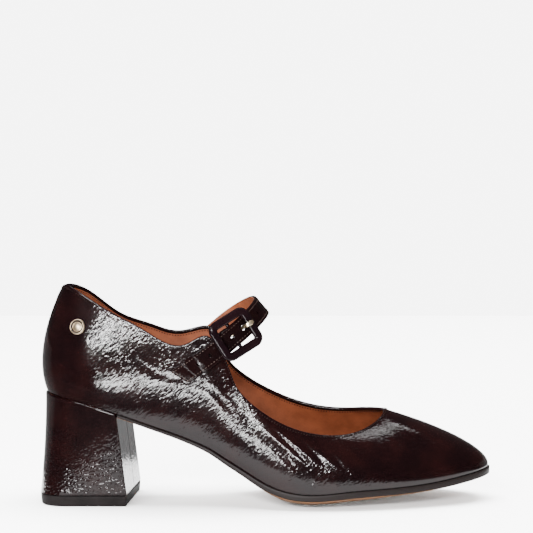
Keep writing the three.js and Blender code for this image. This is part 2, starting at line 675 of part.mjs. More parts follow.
// Buckle frame: a rounded rectangle of crowned bars, with a centre bar let down on two lugs
function buckleGeometry() {
  const long = (BUCKLE_LENGTH - BUCKLE_BAR) / 2;
  const wide = (BUCKLE_WIDTH - BUCKLE_BAR) / 2;
  const corner = BUCKLE_CORNER - BUCKLE_BAR / 2;
  const rows = [];
  const quarters = [[1, 1], [-1, 1], [-1, -1], [1, -1]];
  quarters.forEach(([signA, signW], turn) => {
    for (let k = 0; k <= 4; k += 1) {
      const angle = (Math.PI / 2) * (turn + k / 4);
      const out = vec(Math.cos(angle), Math.sin(angle), 0);
      const centre = vec(signA * (long - corner), signW * (wide - corner), 0);
      centre.addScaledVector(out, corner);
      rows.push(Array.from({ length: BAR_SIDES }, (unused, j) => {
        const round = (2 * Math.PI * j) / BAR_SIDES;
        const spread = out.clone().multiplyScalar((Math.cos(round) * BUCKLE_BAR) / 2);
        return centre.clone().add(spread).add(vec(0, 0, (Math.sin(round) * BUCKLE_THICKNESS) / 2));
      }));
    }
  });
  const bar = new THREE.CylinderGeometry(CENTRE_BAR_RADIUS, CENTRE_BAR_RADIUS, 2 * wide, 12);
  bar.translate(0, 0, -CENTRE_BAR_DROP);
  let body = solid(skin(rows, true)).add(solid(bar));
  [-1, 1].forEach((side) => {
    const drop = CENTRE_BAR_DROP + CENTRE_BAR_RADIUS;
    const lug = new THREE.BoxGeometry(2 * CENTRE_BAR_RADIUS, BUCKLE_BAR / 2, drop);
    lug.translate(0, side * wide, -drop / 2);
    body = body.add(solid(lug));
  });
  return fromSolid(body).applyMatrix4(toBuckle);
}

// Ring round the centre bar, drawn in the plane of the strap's path and as wide as asked
function barRing(inner, outer, width) {
  const shape = new THREE.Shape().absarc(0, -CENTRE_BAR_DROP, outer, 0, 2 * Math.PI, false);
  shape.holes.push(new THREE.Path().absarc(0, -CENTRE_BAR_DROP, inner, 0, 2 * Math.PI, true));
  const ring = new THREE.ExtrudeGeometry(shape, { depth: width, bevelEnabled: false, curveSegments: 10 });
  ring.translate(0, 0, -width / 2);
  return ring.rotateX(Math.PI / 2);
}

// Tab: sewn on the outside of the quarter, running out under the strap and round the centre bar
function tabGeometry() {
  const hold = CENTRE_BAR_RADIUS + GAP;
  const ringRadius = hold + TAB_THICKNESS / 2;
  const thick = TAB_THICKNESS / 2;
  const lines = [-1, 0, 1].map((v) => {
    const half = (TAB_WIDTH / 2) * v;
    const line = [];
    for (let k = 0; k <= 3; k += 1) {
      const q = mix(peakQ - TAB_LAP, peakQ - 0.5, k / 3);
      const w = outerW + half + tailAside(q);
      line.push(atStrap(q, wallUnder(q, w, -1) - LAP_GAP - thick, w));
    }
    const low = -CENTRE_BAR_DROP - 0.1 * ringRadius;
    line.push(atMetal(-ringRadius * 2.4, low, half));
    line.push(atMetal(-ringRadius * 0.92, low, half));
    return new THREE.CatmullRomCurve3(line, false, 'centripetal');
  });
  const steps = 10;
  const rows = Array.from({ length: steps + 1 }, (unused, i) => {
    const middle = lines.map((line) => line.getPoint(i / steps));
    const out = lines.map((line) => (
      line.getTangent(i / steps).cross(widthDir).normalize().multiplyScalar(thick)));
    return [
      ...middle.map((p, k) => p.clone().add(out[k])),
      ...middle.map((p, k) => p.clone().sub(out[k])).reverse(),
    ];
  });
  const ring = solid(barRing(hold, hold + TAB_THICKNESS, TAB_WIDTH).applyMatrix4(toBuckle));
  const slotSide = 2 * (hold + TAB_THICKNESS) + 1;
  const slot = new THREE.BoxGeometry(slotSide, PRONG_WIDTH + 4 * GAP, slotSide);
  slot.translate(0.1 * slotSide, prongSide, -CENTRE_BAR_DROP);
  const hollow = new THREE.CylinderGeometry(hold, hold, TAB_WIDTH + 2, 20);
  hollow.translate(0, 0, -CENTRE_BAR_DROP);
  return fromSolid(solid(skin(rows, false)).add(ring)
    .subtract(solid(slot.applyMatrix4(toBuckle)))
    .subtract(solid(hollow.applyMatrix4(toBuckle))));
}

// Prong: looped round the centre bar, up through the strap's hole and onto the front bar
function prongGeometry() {
  const hold = CENTRE_BAR_RADIUS + GAP;
  const half = PRONG_THICKNESS / 2;
  const barInside = BUCKLE_LENGTH / 2 - BUCKLE_BAR;
  const top = BUCKLE_THICKNESS / 2 + GAP + half;
  const path = [
    [0.6, -CENTRE_BAR_DROP + hold + half],
    [prongReach - PRONG_HOLE_LENGTH / 3, -CENTRE_BAR_DROP + hold + half],
    [prongReach + PRONG_HOLE_LENGTH / 4, 0],
    [barInside - GAP, top],
    [BUCKLE_LENGTH / 2 - PRONG_SHORT, top],
  ];
  const side = (direction) => path.map(([a, n], i) => {
    const before = path[Math.max(i - 1, 0)];
    const after = path[Math.min(i + 1, path.length - 1)];
    const length = Math.hypot(after[0] - before[0], after[1] - before[1]);
    const out = [-(after[1] - before[1]) / length, (after[0] - before[0]) / length];
    return new THREE.Vector2(a + direction * half * out[0], n + direction * half * out[1]);
  });
  const shape = new THREE.Shape([...side(-1), ...side(1).reverse()]);
  const arm = new THREE.ExtrudeGeometry(shape, { depth: PRONG_WIDTH, bevelEnabled: false });
  arm.translate(0, 0, -PRONG_WIDTH / 2).rotateX(Math.PI / 2);
  const ring = barRing(hold, hold + PRONG_THICKNESS, PRONG_WIDTH);
  return fromSolid(solid(arm).add(solid(ring))).translate(0, prongSide, 0).applyMatrix4(toBuckle);
}

// Stud: a low turned button with a groove and a plain domed middle, flat against the quarter
function studGeometry() {
  const radius = STUD_DIAMETER / 2;
  const profile = [
    [0, 0], [radius * 0.94, 0], [radius, 0.35], [radius * 0.96, 0.75], [radius * 0.82, 0.95],
    [radius * 0.72, 0.7], [radius * 0.62, 0.75], [radius * 0.45, 0.92], [0, 1],
  ].map(([r, h], i) => new THREE.Vector2(r, i === 1 ? 0 : h * STUD_THICKNESS));
  const stud = new THREE.LatheGeometry(profile, 28).rotateX(Math.PI / 2);
  const seat = wallTouch(STUD_X, HEEL_HEIGHT + BACK_HEIGHT - STUD_DROP, -1);
  const turn = new THREE.Quaternion().setFromUnitVectors(vec(0, 0, 1), seat.normal);
  const place = seat.point.clone().addScaledVector(seat.normal, GAP);
  stud.applyQuaternion(turn).translate(place.x, place.y, place.z);
  return facingOut(mergeVertices(stud.deleteAttribute('normal').deleteAttribute('uv'), 1e-4));
}

const patent = 0x2a1416;
const sole = 0x1c1311;
const tan = 0xa5622f;
const brass = 0xcdb48c;
const shoe = new THREE.Group();
shoe.add(
  finished(upperGeometry(), 'upper', patent, 0.16, 0),
  finished(outsoleGeometry(), 'outsole', sole, 0.5, 0),
  finished(insoleGeometry(), 'insole', tan, 0.55, 0),
  finished(heelGeometry(), 'heel', patent, 0.16, 0),
  finished(topPieceGeometry(), 'top_piece', 0x3a2f2d, 0.7, 0),
  finished(strapGeometry(), 'strap', patent, 0.18, 0),
  finished(buckleGeometry(), 'buckle_frame', 0x1f0f14, 0.12, 0),
  finished(tabGeometry(), 'buckle_tab', patent, 0.2, 0),
  finished(prongGeometry(), 'buckle_prong', brass, 0.25, 1),
  finished(studGeometry(), 'heel_stud', brass, 0.3, 1),
);

// Origin at the middle of the footprint, on the floor
const box = new THREE.Box3().setFromObject(shoe);
shoe.position.set(-(box.min.x + box.max.x) / 2, -(box.min.y + box.max.y) / 2, -box.min.z);
const model = new THREE.Group();
model.add(shoe);

export default model;
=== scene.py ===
"""A mary jane shoe in dark patent leather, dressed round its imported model.

The main forms follow the same named sizes as the solids, in millimetres from the back of the
heel and from the floor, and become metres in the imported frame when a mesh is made.
"""
import logging
import math
from dataclasses import dataclass, field
from enum import Enum
from typing import Callable, List, Optional, Sequence, Tuple, Union

import bpy
import numpy as np
from mathutils import Matrix, Vector


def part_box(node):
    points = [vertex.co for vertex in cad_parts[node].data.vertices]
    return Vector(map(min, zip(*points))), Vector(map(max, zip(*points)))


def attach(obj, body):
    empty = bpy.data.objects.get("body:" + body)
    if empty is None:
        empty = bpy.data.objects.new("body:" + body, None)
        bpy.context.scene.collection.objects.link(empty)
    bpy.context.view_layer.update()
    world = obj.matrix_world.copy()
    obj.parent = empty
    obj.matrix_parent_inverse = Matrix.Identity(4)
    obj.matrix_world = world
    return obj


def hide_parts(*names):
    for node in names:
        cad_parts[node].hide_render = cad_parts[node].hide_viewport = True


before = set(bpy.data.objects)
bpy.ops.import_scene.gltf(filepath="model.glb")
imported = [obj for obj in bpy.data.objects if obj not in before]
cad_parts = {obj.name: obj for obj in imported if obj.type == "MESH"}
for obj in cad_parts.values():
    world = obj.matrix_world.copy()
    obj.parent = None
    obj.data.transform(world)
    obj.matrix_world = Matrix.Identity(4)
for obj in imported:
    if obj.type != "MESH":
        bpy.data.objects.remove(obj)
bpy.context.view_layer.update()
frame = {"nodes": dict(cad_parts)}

MM = 0.001
LOG = logging.getLogger("shoe")
Colour = Tuple[float, float, float, float]
Place = Tuple[float, float, float]
UP = np.array([0.0, 0.0, 1.0])
QUARTERS = ((1, 1), (-1, 1), (-1, -1), (1, -1))


class Side(Enum):
    """Which side of the foot a place is on, as the sign of its y."""

    OUTER = -1
    INNER = 1


class Ends(Enum):
    """How a skin of rows finishes at its first and last row."""

    RING = "ring"
    CAPPED = "capped"


def smooth(value: np.ndarray, low: float, high: float) -> np.ndarray:
    """Rises softly from 0 at low to 1 at high."""
    u = np.clip((np.asarray(value, float) - low) / (high - low), 0.0, 1.0)
    return u * u * (3.0 - 2.0 * u)


def mix(a: float, b: float, share: float) -> float:
    """The value that lies a share of the way from a to b."""
    return a + (b - a) * share


def unit(v: np.ndarray) -> np.ndarray:
    """Vectors of length one along the last axis."""
    return v / (np.linalg.norm(v, axis=-1, keepdims=True) + 1e-12)


def walked_along(line: np.ndarray) -> np.ndarray:
    """How far each point of a line lies from its first, measured along the line."""
    return np.concatenate([[0.0], np.cumsum(np.linalg.norm(np.diff(line, axis=0), axis=1))])


class Lattice:
    """Soft random lumps in space from a fixed seed, between -1 and 1."""

    def __init__(self, seed: int, size: int = 64) -> None:
        """Draws the lattice's values once."""
        self.size = size
        self.values = np.random.default_rng(seed).uniform(-1.0, 1.0, (size, size, size))

    def __call__(self, points: np.ndarray, pitch: float) -> np.ndarray:
        """Reads the lattice at points.

        Args:
            points: places in millimetres, the last axis being x, y and z.
            pitch: distance between lattice values in millimetres.

        Returns:
            One value for each point.
        """
        place = np.asarray(points, float) / pitch
        base = np.floor(place).astype(int)
        part = place - base
        part = part * part * (3.0 - 2.0 * part)
        total = np.zeros(place.shape[:-1])
        for corner in np.ndindex(2, 2, 2):
            weight = np.ones(place.shape[:-1])
            for axis, far in enumerate(corner):
                share = part[..., axis]
                weight = weight * (share if far else 1.0 - share)
            index = tuple((base[..., axis] + corner[axis]) % self.size for axis in range(3))
            total += weight * self.values[index]
        return total


def ring_spline(places: np.ndarray, values: np.ndarray, period: float) -> Callable[[np.ndarray], np.ndarray]:
    """A closed curve with continuous bend.

    Args:
        places: rising places round the ring.
        values: one row of numbers for each place.
        period: the ring's length.

    Returns:
        A function from an array of places to an array of rows.
    """
    count = len(places)
    step = np.diff(np.append(places, period))
    slope = (np.roll(values, -1, axis=0) - values) / step[:, None]
    matrix = np.zeros((count, count))
    for i in range(count):
        matrix[i, i - 1] = step[i - 1]
        matrix[i, i] = 2.0 * (step[i - 1] + step[i])
        matrix[i, (i + 1) % count] = step[i]
    bend = np.linalg.solve(matrix, 6.0 * (slope - np.roll(slope, 1, axis=0)))

    def read(at: np.ndarray) -> np.ndarray:
        """Reads the curve.

        Args:
            at: places round the ring, which may lie past the period.

        Returns:
            One row of numbers for each place.
        """
        wrapped = np.mod(at, period)
        i = np.searchsorted(places, wrapped, side="right") - 1
        j = (i + 1) % count
        h = step[i][..., None]
        right = (wrapped - places[i])[..., None]
        left = h - right
        curve = (bend[i] * left**3 + bend[j] * right**3) / (6.0 * h)
        line_left = (values[i] / h - bend[i] * h / 6.0) * left
        return curve + line_left + (values[j] / h - bend[j] * h / 6.0) * right

    return read


@dataclass(frozen=True)
class Section:
    """One section of the upper, in shares of the last's named sizes.

    The numbers are: x and y of the sole edge, how far the section belongs to the heel seat, its
    share of the toe spring, x and y of the rim, the wall's rise, and how the wall's curve bends
    out and up from the sole and out and down from the rim.
    """

    name: str
    x: float
    y: float
    seat: float
    spring: float
    rim_x: float
    rim_y: float
    rise: float
    low_out: float
    low_up: float
    high_out: float
    high_down: float


SECTIONS: Tuple[Section, ...] = (
    Section("heel back", 0.010, 0.000, 1.000, 0.000, 0.048, 0.000, 0.998, 0.121, 0.290, 0.160, 0.271),
    Section("heel corner", 0.030, -0.554, 0.988, 0.000, 0.057, -0.340, 1.025, 0.107, 0.275, 0.129, 0.310),
    Section("heel side", 0.079, -0.899, 0.946, 0.000, 0.094, -0.623, 1.005, 0.086, 0.287, 0.093, 0.323),
    Section("seat front", 0.158, -0.973, 0.842, 0.000, 0.164, -0.860, 0.972, 0.074, 0.294, 0.074, 0.315),
    Section("waist rear", 0.242, -0.854, 0.695, 0.000, 0.235, -0.955, 1.019, 0.097, 0.281, 0.061, 0.325),
    Section("waist", 0.317, -0.789, 0.563, 0.000, 0.318, -0.996, 1.086, 0.112, 0.305, 0.051, 0.325),
    Section("peak rear", 0.367, -0.788, 0.463, 0.000, 0.370, -0.992, 1.379, 0.094, 0.290, 0.041, 0.307),
    Section("peak front", 0.404, -0.810, 0.359, 0.000, 0.415, -1.011, 1.222, 0.103, 0.309, 0.058, 0.309),
    Section("throat rear", 0.446, -0.842, 0.240, 0.000, 0.433, -1.057, 1.193, 0.103, 0.299, 0.069, 0.299),
    Section("throat side", 0.508, -0.892, 0.076, 0.000, 0.481, -1.125, 1.254, 0.087, 0.299, 0.100, 0.274),
    Section("ball", 0.592, -0.949, 0.000, 0.000, 0.548, -1.143, 1.163, 0.072, 0.315, 0.143, 0.258),
    Section("ball front", 0.675, -0.936, 0.000, 0.163, 0.615, -1.057, 0.970, 0.076, 0.344, 0.241, 0.241),
    Section("vamp side", 0.758, -0.841, 0.000, 0.283, 0.677, -0.830, 0.917, 0.073, 0.335, 0.364, 0.215),
    Section("vamp corner", 0.846, -0.672, 0.000, 0.435, 0.726, -0.472, 0.973, 0.068, 0.290, 0.505, 0.215),
    Section("toe side", 0.921, -0.472, 0.000, 0.696, 0.751, -0.170, 1.013, 0.066, 0.270, 0.705, 0.270),
    Section("toe corner", 0.972, -0.251, 0.000, 0.924, 0.758, -0.019, 1.003, 0.066, 0.262, 0.960, 0.305),
    Section("toe tip", 0.994, 0.090, 0.000, 1.000, 0.760, 0.113, 1.010, 0.073, 0.265, 1.120, 0.310),
    Section("inner toe corner", 0.976, 0.372, 0.000, 0.924, 0.758, 0.238, 1.037, 0.064, 0.255, 0.930, 0.300),
    Section("inner toe side", 0.938, 0.590, 0.000, 0.739, 0.748, 0.377, 1.090, 0.061, 0.255, 0.655, 0.260),
    Section("inner vamp corner", 0.871, 0.795, 0.000, 0.489, 0.723, 0.596, 1.150, 0.058, 0.250, 0.430, 0.190),
    Section("inner vamp side", 0.792, 0.954, 0.000, 0.315, 0.681, 0.830, 1.170, 0.057, 0.271, 0.285, 0.157),
    Section("inner ball front", 0.708, 1.021, 0.000, 0.174, 0.625, 1.000, 1.227, 0.060, 0.272, 0.190, 0.190),
    Section("inner ball", 0.625, 0.949, 0.000, 0.000, 0.560, 1.079, 1.400, 0.071, 0.286, 0.119, 0.214),
    Section("inner throat side", 0.542, 0.787, 0.020, 0.000, 0.496, 1.072, 1.559, 0.095, 0.273, 0.084, 0.231),
    Section("inner throat rear", 0.467, 0.669, 0.182, 0.000, 0.444, 1.026, 1.355, 0.127, 0.317, 0.063, 0.275),
    Section("inner peak front", 0.408, 0.609, 0.347, 0.000, 0.402, 1.004, 1.288, 0.138, 0.335, 0.055, 0.296),
    Section("inner peak rear", 0.358, 0.595, 0.479, 0.000, 0.370, 0.992, 1.352, 0.126, 0.302, 0.040, 0.302),
    Section("inner waist", 0.308, 0.623, 0.579, 0.000, 0.308, 0.996, 1.120, 0.138, 0.316, 0.049, 0.316),
    Section("inner waist rear", 0.237, 0.717, 0.703, 0.000, 0.235, 0.955, 0.992, 0.116, 0.295, 0.059, 0.316),
    Section("inner seat front", 0.158, 0.852, 0.842, 0.000, 0.164, 0.860, 0.914, 0.089, 0.298, 0.074, 0.319),
    Section("inner heel side", 0.079, 0.846, 0.946, 0.000, 0.094, 0.623, 1.005, 0.088, 0.292, 0.095, 0.328),
    Section("inner heel corner", 0.030, 0.535, 0.988, 0.000, 0.057, 0.340, 1.015, 0.108, 0.278, 0.130, 0.313),
)


@dataclass
class Last:
    """The last's sizes and the outer face of the upper that is pulled over it."""

    length: float = 240.0
    ball_width: float = 78.0
    seat_width: float = 52.0
    collar_width: float = 53.0
    heel_height: float = 58.5
    toe_spring: float = 9.2
    back_height: float = 57.0
    throat_height: float = 30.0
    wall: float = 1.8
    edge_lift: float = 4.7
    sole_thickness: float = 3.4
    gap: float = 0.3
    shift: np.ndarray = field(default_factory=lambda: np.zeros(3))

    def __post_init__(self) -> None:
        """Draws the four curves that each run round the shoe."""
        forefoot = self.edge_lift + self.sole_thickness + self.gap
        points = np.array([self._bend_points(i, forefoot) for i in range(len(SECTIONS))])
        chords = np.linalg.norm(np.roll(points, -1, axis=0) - points, axis=2)
        steps = (chords[:, 0] + chords[:, 3]) / 2.0
        self.places = np.concatenate([[0.0], np.cumsum(steps)[:-1]])
        self.ring = float(steps.sum())
        self.curves = [ring_spline(self.places, points[:, k], self.ring) for k in range(4)]
        self.rims = {section.name: points[i, 3] for i, section in enumerate(SECTIONS)}
        low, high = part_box("upper")
        grid = self.wall_point(np.linspace(0, self.ring, 961)[:, None], np.linspace(0, 1, 61)[None])
        middle = (grid.reshape(-1, 3).max(0) + grid.reshape(-1, 3).min(0)) / 2.0
        packed = (np.array(low) + np.array(high)) / 2.0 / MM
        self.shift = np.array([packed[0] - middle[0], packed[1] - middle[1], 0.0])

    def _foot(self, section: Section) -> np.ndarray:
        """The sole edge of a section in plan."""
        half = mix(self.ball_width, self.seat_width, section.seat) / 2.0
        return np.array([section.x * self.length, section.y * half, 0.0])

    def _bend_points(self, i: int, forefoot: float) -> np.ndarray:
        """The four points that bend one section's wall, from the sole to the rim.

        Args:
            i: the section's place in the table.
            forefoot: height of the sole edge under the ball.

        Returns:
            The sole's point, the two that bend the wall, and the rim's.
        """
        row = SECTIONS[i]
        foot = self._foot(row)
        foot[2] = forefoot + row.seat * (self.heel_height - forefoot) + row.spring * self.toe_spring
        height = row.rise * mix(self.throat_height, self.back_height, row.seat)
        rim = np.array([row.rim_x * self.length, row.rim_y * self.collar_width / 2.0, foot[2] + height])
        after = self._foot(SECTIONS[(i + 1) % len(SECTIONS)])
        along = unit(after - self._foot(SECTIONS[i - 1]))
        out = np.array([along[1], -along[0], 0.0])
        low = foot + height * (row.low_out * out + row.low_up * UP)
        high = rim + height * (row.high_out * out - row.high_down * UP)
        return np.array([foot, low, high, rim])

    def wall_point(self, s: np.ndarray, t: np.ndarray) -> np.ndarray:
        """Points of the outer face.

        Args:
            s: places round the ring.
            t: places up the wall, 0 at the sole and 1 at the rim.

        Returns:
            One point for each pair of places.
        """
        s, t = np.broadcast_arrays(np.asarray(s, float), np.asarray(t, float))
        weights = ((1 - t) ** 3, 3 * (1 - t) ** 2 * t, 3 * (1 - t) * t**2, t**3)
        return sum(w[..., None] * curve(s) for w, curve in zip(weights, self.curves))

    def wall_normal(self, s: np.ndarray, t: np.ndarray) -> np.ndarray:
        """Outward normals of the outer face.

        Args:
            s: places round the ring.
            t: places up the wall, 0 at the sole and 1 at the rim.

        Returns:
            One unit vector for each pair of places.
        """
        s, t = np.broadcast_arrays(np.asarray(s, float), np.asarray(t, float))
        around = self.wall_point(s + 0.4, t) - self.wall_point(s - 0.4, t)
        rise = self.wall_point(s, np.minimum(t + 0.002, 1)) - self.wall_point(s, np.maximum(t - 0.002, 0))
        return unit(np.cross(around, rise))

    def touch(self, x: float, z: float, side: Side) -> Tuple[float, float]:
        """Finds the place on the outer face that has a given x and z.

        Args:
            x: millimetres from the back of the heel.
            z: millimetres above the floor.
            side: the side of the foot.

        Returns:
            The place as s and t, t past 1 where the height lies above the rim.
        """
        s = np.linspace(0, self.ring, 257)[:, None]
        t = np.linspace(0, 1, 33)[None]
        grid = self.wall_point(s, t)
        miss = (grid[..., 0] - x) ** 2 + (grid[..., 2] - z) ** 2
        miss = miss + np.where(grid[..., 1] * side.value < 0, 1e6, 0.0)
        i, j = np.unravel_index(np.argmin(miss), miss.shape)
        place, rise = float(s[i, 0]), float(t[0, j])
        for _ in range(12):
            here = self.wall_point(place, rise)
            by_side = (self.wall_point(place + 0.01, rise) - here) / 0.01
            by_rise = (self.wall_point(place, rise + 0.0005) - here) / 0.0005
            det = by_side[0] * by_rise[2] - by_rise[0] * by_side[2]
            dx, dz = x - here[0], z - here[2]
            place += (dx * by_rise[2] - dz * by_rise[0]) / det
            rise += (dz * by_side[0] - dx * by_side[2]) / det
        return place, rise

    def foot_line(self, offset: float, count: int = 960) -> np.ndarray:
        """The line where upper and sole meet, moved out by an offset.

        Args:
            offset: millimetres outwards, or inwards where it is negative.
            count: how many points the line has.

        Returns:
            The closed line's points.
        """
        s = np.arange(count) / count * self.ring
        along = self.wall_point(s + 0.5, 0.0) - self.wall_point(s - 0.5, 0.0)
        along[:, 2] = 0.0
        along = unit(along)
        out = np.stack([along[:, 1], -along[:, 0], np.zeros(count)], axis=1)
        return self.wall_point(s, 0.0) + offset * out

    def to_frame(self, points: np.ndarray) -> np.ndarray:
        """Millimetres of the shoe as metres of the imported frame."""
        return (np.asarray(points, float) + self.shift) * MM


def edges_at(line: np.ndarray, x: float, skew: float) -> Tuple[np.ndarray, np.ndarray]:
    """Where a closed line crosses a station that may lie askew.

    Args:
        line: the line's points.
        x: the station's x on the shoe's long axis.
        skew: how far the station leans along x for each millimetre of y.

    Returns:
        The crossing on the outer side and the one on the inner side.
    """
    here = line[:, 0] - skew * line[:, 1] - x
    there = np.roll(here, -1)
    hits = np.where((here * there < 0) | (here == 0))[0]
    share = (here[hits] / (here[hits] - there[hits]))[:, None]
    points = line[hits] * (1 - share) + np.roll(line, -1, axis=0)[hits] * share
    order = np.argsort(points[:, 1])
    return points[order[0]].copy(), points[order[-1]].copy()


class Skin:
    """A mesh made of rows of points that each close on themselves."""

    def __init__(self, rows: np.ndarray, ends: Ends) -> None:
        """Keeps the rows, an array of rows by points by three, in millimetres."""
        self.rows = np.asarray(rows, float)
        self.ends = ends

    def faces(self) -> List[Tuple[int, ...]]:
        """Quads between the rows, with strips across both ends where they are capped."""
        total, count = self.rows.shape[:2]
        last = total if self.ends is Ends.RING else total - 1
        i = np.arange(last)[:, None]
        j = np.arange(count)[None]
        after = (i + 1) % total
        beside = (j + 1) % count
        quads = np.stack([i * count + j, i * count + beside, after * count + beside, after * count + j], -1)
        faces = [tuple(q) for q in quads.reshape(-1, 4).tolist()]
        if self.ends is Ends.CAPPED:
            for start, flip in ((0, False), ((total - 1) * count, True)):
                left, right = 0, count - 1
                while left + 1 < right:
                    loop = [left, right, right - 1] + ([left + 1] if left + 2 < right else [])
                    loop = [start + v for v in (reversed(loop) if flip else loop)]
                    faces.append(tuple(loop))
                    left, right = left + 1, right - 1
        return faces

    def make(self, name: str, last: Last, crease_angle: float = 50.0) -> bpy.types.Object:
        """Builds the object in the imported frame.

        Args:
            name: the piece's name.
            last: gives the shift into the frame.
            crease_angle: edges sharper than this many degrees shade as corners.

        Returns:
            The new object, with its faces turned out.
        """
        mesh = bpy.data.meshes.new(name)
        points = last.to_frame(self.rows.reshape(-1, 3))
        mesh.from_pydata(points.tolist(), [], self.faces())
        return finish_mesh(mesh, name, crease_angle)


def finish_mesh(mesh: bpy.types.Mesh, name: str, crease_angle: float) -> bpy.types.Object:
    """Turns a closed mesh's faces out, sets its shading and links it.

    Args:
        mesh: the mesh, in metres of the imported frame.
        name: the piece's name.
        crease_angle: edges sharper than this many degrees shade as corners.

    Returns:
        The linked object.
    """
    mesh.validate()
    corners = np.array([v.co for v in mesh.vertices])
    mesh.calc_loop_triangles()
    tris = np.array([t.vertices for t in mesh.loop_triangles])
    a, b, c = (corners[tris[:, k]] for k in range(3))
    if np.einsum("ij,ij->i", a, np.cross(b, c)).sum() < 0:
        mesh.flip_normals()
    mesh.shade_smooth()
    mesh.set_sharp_from_angle(angle=math.radians(crease_angle))
    piece = bpy.data.objects.new(name, mesh)
    bpy.context.scene.collection.objects.link(piece)
    return piece


class Wire:
    """A shader socket that takes part in Python expressions."""

    def __init__(self, shade: "Shade", socket: bpy.types.NodeSocket) -> None:
        """Wraps one output socket of a shade's tree."""
        self.shade = shade
        self.socket = socket

    def _maths(self, operation: str, first: object, second: object) -> "Wire":
        """Adds a Math node for an operation on two values or wires."""
        node = self.shade.node("ShaderNodeMath", {"operation": operation}, {0: first, 1: second})
        return node("Value")

    def __add__(self, other: object) -> "Wire":
        """Sum."""
        return self._maths("ADD", self, other)

    def __radd__(self, other: object) -> "Wire":
        """Sum with a number on the left."""
        return self._maths("ADD", other, self)

    def __sub__(self, other: object) -> "Wire":
        """Difference."""
        return self._maths("SUBTRACT", self, other)

    def __rsub__(self, other: object) -> "Wire":
        """Difference from a number on the left."""
        return self._maths("SUBTRACT", other, self)

    def __mul__(self, other: object) -> "Wire":
        """Product."""
        return self._maths("MULTIPLY", self, other)

    def __rmul__(self, other: object) -> "Wire":
        """Product with a number on the left."""
        return self._maths("MULTIPLY", other, self)

    def __abs__(self) -> "Wire":
        """Size without sign."""
        return self._maths("ABSOLUTE", self, 0.0)

    def rising(self, low: float, high: float) -> "Wire":
        """Goes softly from 0 at low to 1 at high."""
        values = {"Value": self, "From Min": low, "From Max": high}
        settings = {"interpolation_type": "SMOOTHSTEP"}
        return self.shade.node("ShaderNodeMapRange", settings, values)("Result")


class Shade:
    """A material's tree, in which every node is added by one method."""

    def __init__(self, name: str) -> None:
        """Starts a material with its surface node."""
        self.material = bpy.data.materials.new(name)
        self.material.use_nodes = True
        self.tree = self.material.node_tree
        self.surface = self.tree.nodes["Principled BSDF"]

    def node(self, kind: str, settings: Optional[dict] = None,
             values: Optional[dict] = None) -> Callable[[Union[str, int]], Wire]:
        """Adds a node.

        Args:
            kind: the node's type.
            settings: its properties, set before its sockets.
            values: numbers, colours or wires for its input sockets, by name or place.

        Returns:
            A function that gives a wire from one of the node's outputs.
        """
        node = self.tree.nodes.new(kind)
        for key, value in (settings or {}).items():
            setattr(node, key, value)
        for key, value in (values or {}).items():
            self._feed(node.inputs[key], value)
        return lambda key: Wire(self, node.outputs[key])

    def _feed(self, socket: bpy.types.NodeSocket, value: object) -> None:
        """Links a wire to a socket, or sets the socket's own value."""
        if isinstance(value, Wire):
            self.tree.links.new(value.socket, socket)
        else:
            socket.default_value = value

    def set(self, **values: object) -> None:
        """Feeds the surface node, with spaces of socket names written as underscores."""
        for key, value in values.items():
            self._feed(self.surface.inputs[key.replace("_", " ")], value)

    def place(self, turn: Place = (0.0, 0.0, 0.0), stretch: Place = (1.0, 1.0, 1.0)) -> Wire:
        """Object coordinates for a pattern that may be turned and drawn out.

        Args:
            turn: degrees about each axis.
            stretch: how many times longer the pattern gets along each turned axis.

        Returns:
            The coordinates.
        """
        coords = self.node("ShaderNodeTexCoord")("Object")
        angles = tuple(math.radians(a) for a in turn)
        values = {"Vector": coords, "Rotation": angles, "Scale": stretch}
        return self.node("ShaderNodeMapping", {"vector_type": "TEXTURE"}, values)("Vector")

    def axis(self, name: str) -> Wire:
        """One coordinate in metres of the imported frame."""
        return self.node("ShaderNodeSeparateXYZ", {}, {0: self.place()})(name)

    def noise(self, pitch_mm: float, detail: float = 2.0, vector: Optional[Wire] = None,
              twist: float = 0.0) -> Wire:
        """Noise with lumps of a given size in millimetres.

        Args:
            pitch_mm: the lumps' size.
            detail: how many finer layers lie on them.
            vector: the coordinates, or none for the object's own.
            twist: how far the lumps are pulled out of shape.

        Returns:
            The noise, from 0 to 1.
        """
        values = {"Vector": vector or self.place(), "Scale": 1000.0 / pitch_mm}
        values.update({"Detail": detail, "Distortion": twist})
        return self.node("ShaderNodeTexNoise", {}, values)("Fac")

    def cells(self, pitch_mm: float, feature: str = "F1", vector: Optional[Wire] = None) -> Wire:
        """Distance field of random cells of a given size in millimetres."""
        values = {"Vector": vector or self.place(), "Scale": 1000.0 / pitch_mm}
        return self.node("ShaderNodeTexVoronoi", {"feature": feature}, values)("Distance")

    def blend(self, share: Union[Wire, float], first: object, second: object) -> Wire:
        """A colour between two colours."""
        values = {0: share, 6: first, 7: second}
        return self.node("ShaderNodeMix", {"data_type": "RGBA"}, values)(2)

    def relief(self, height: Wire, depth_mm: float) -> Wire:
        """A bump whose height of 1 stands a depth in millimetres out."""
        values = {"Height": height, "Distance": depth_mm * MM, "Strength": 1.0}
        return self.node("ShaderNodeBump", {}, values)("Normal")


def grey(value: float) -> Colour:
    """A neutral colour."""
    return (value, value, value, 1.0)


@dataclass(frozen=True)
class Crease:
    """A soft trough with raised shoulders that crosses the upper's outer face."""

    side: Side
    line: Tuple[Tuple[float, float], ...]
    width: float
    depth: float

    def places(self, last: Last) -> np.ndarray:
        """The crease's middle line in space, every half millimetre or so."""
        knots = [last.wall_point(*last.touch(x, z, self.side)) for x, z in self.line]
        return smooth_path(np.array(knots), 24)


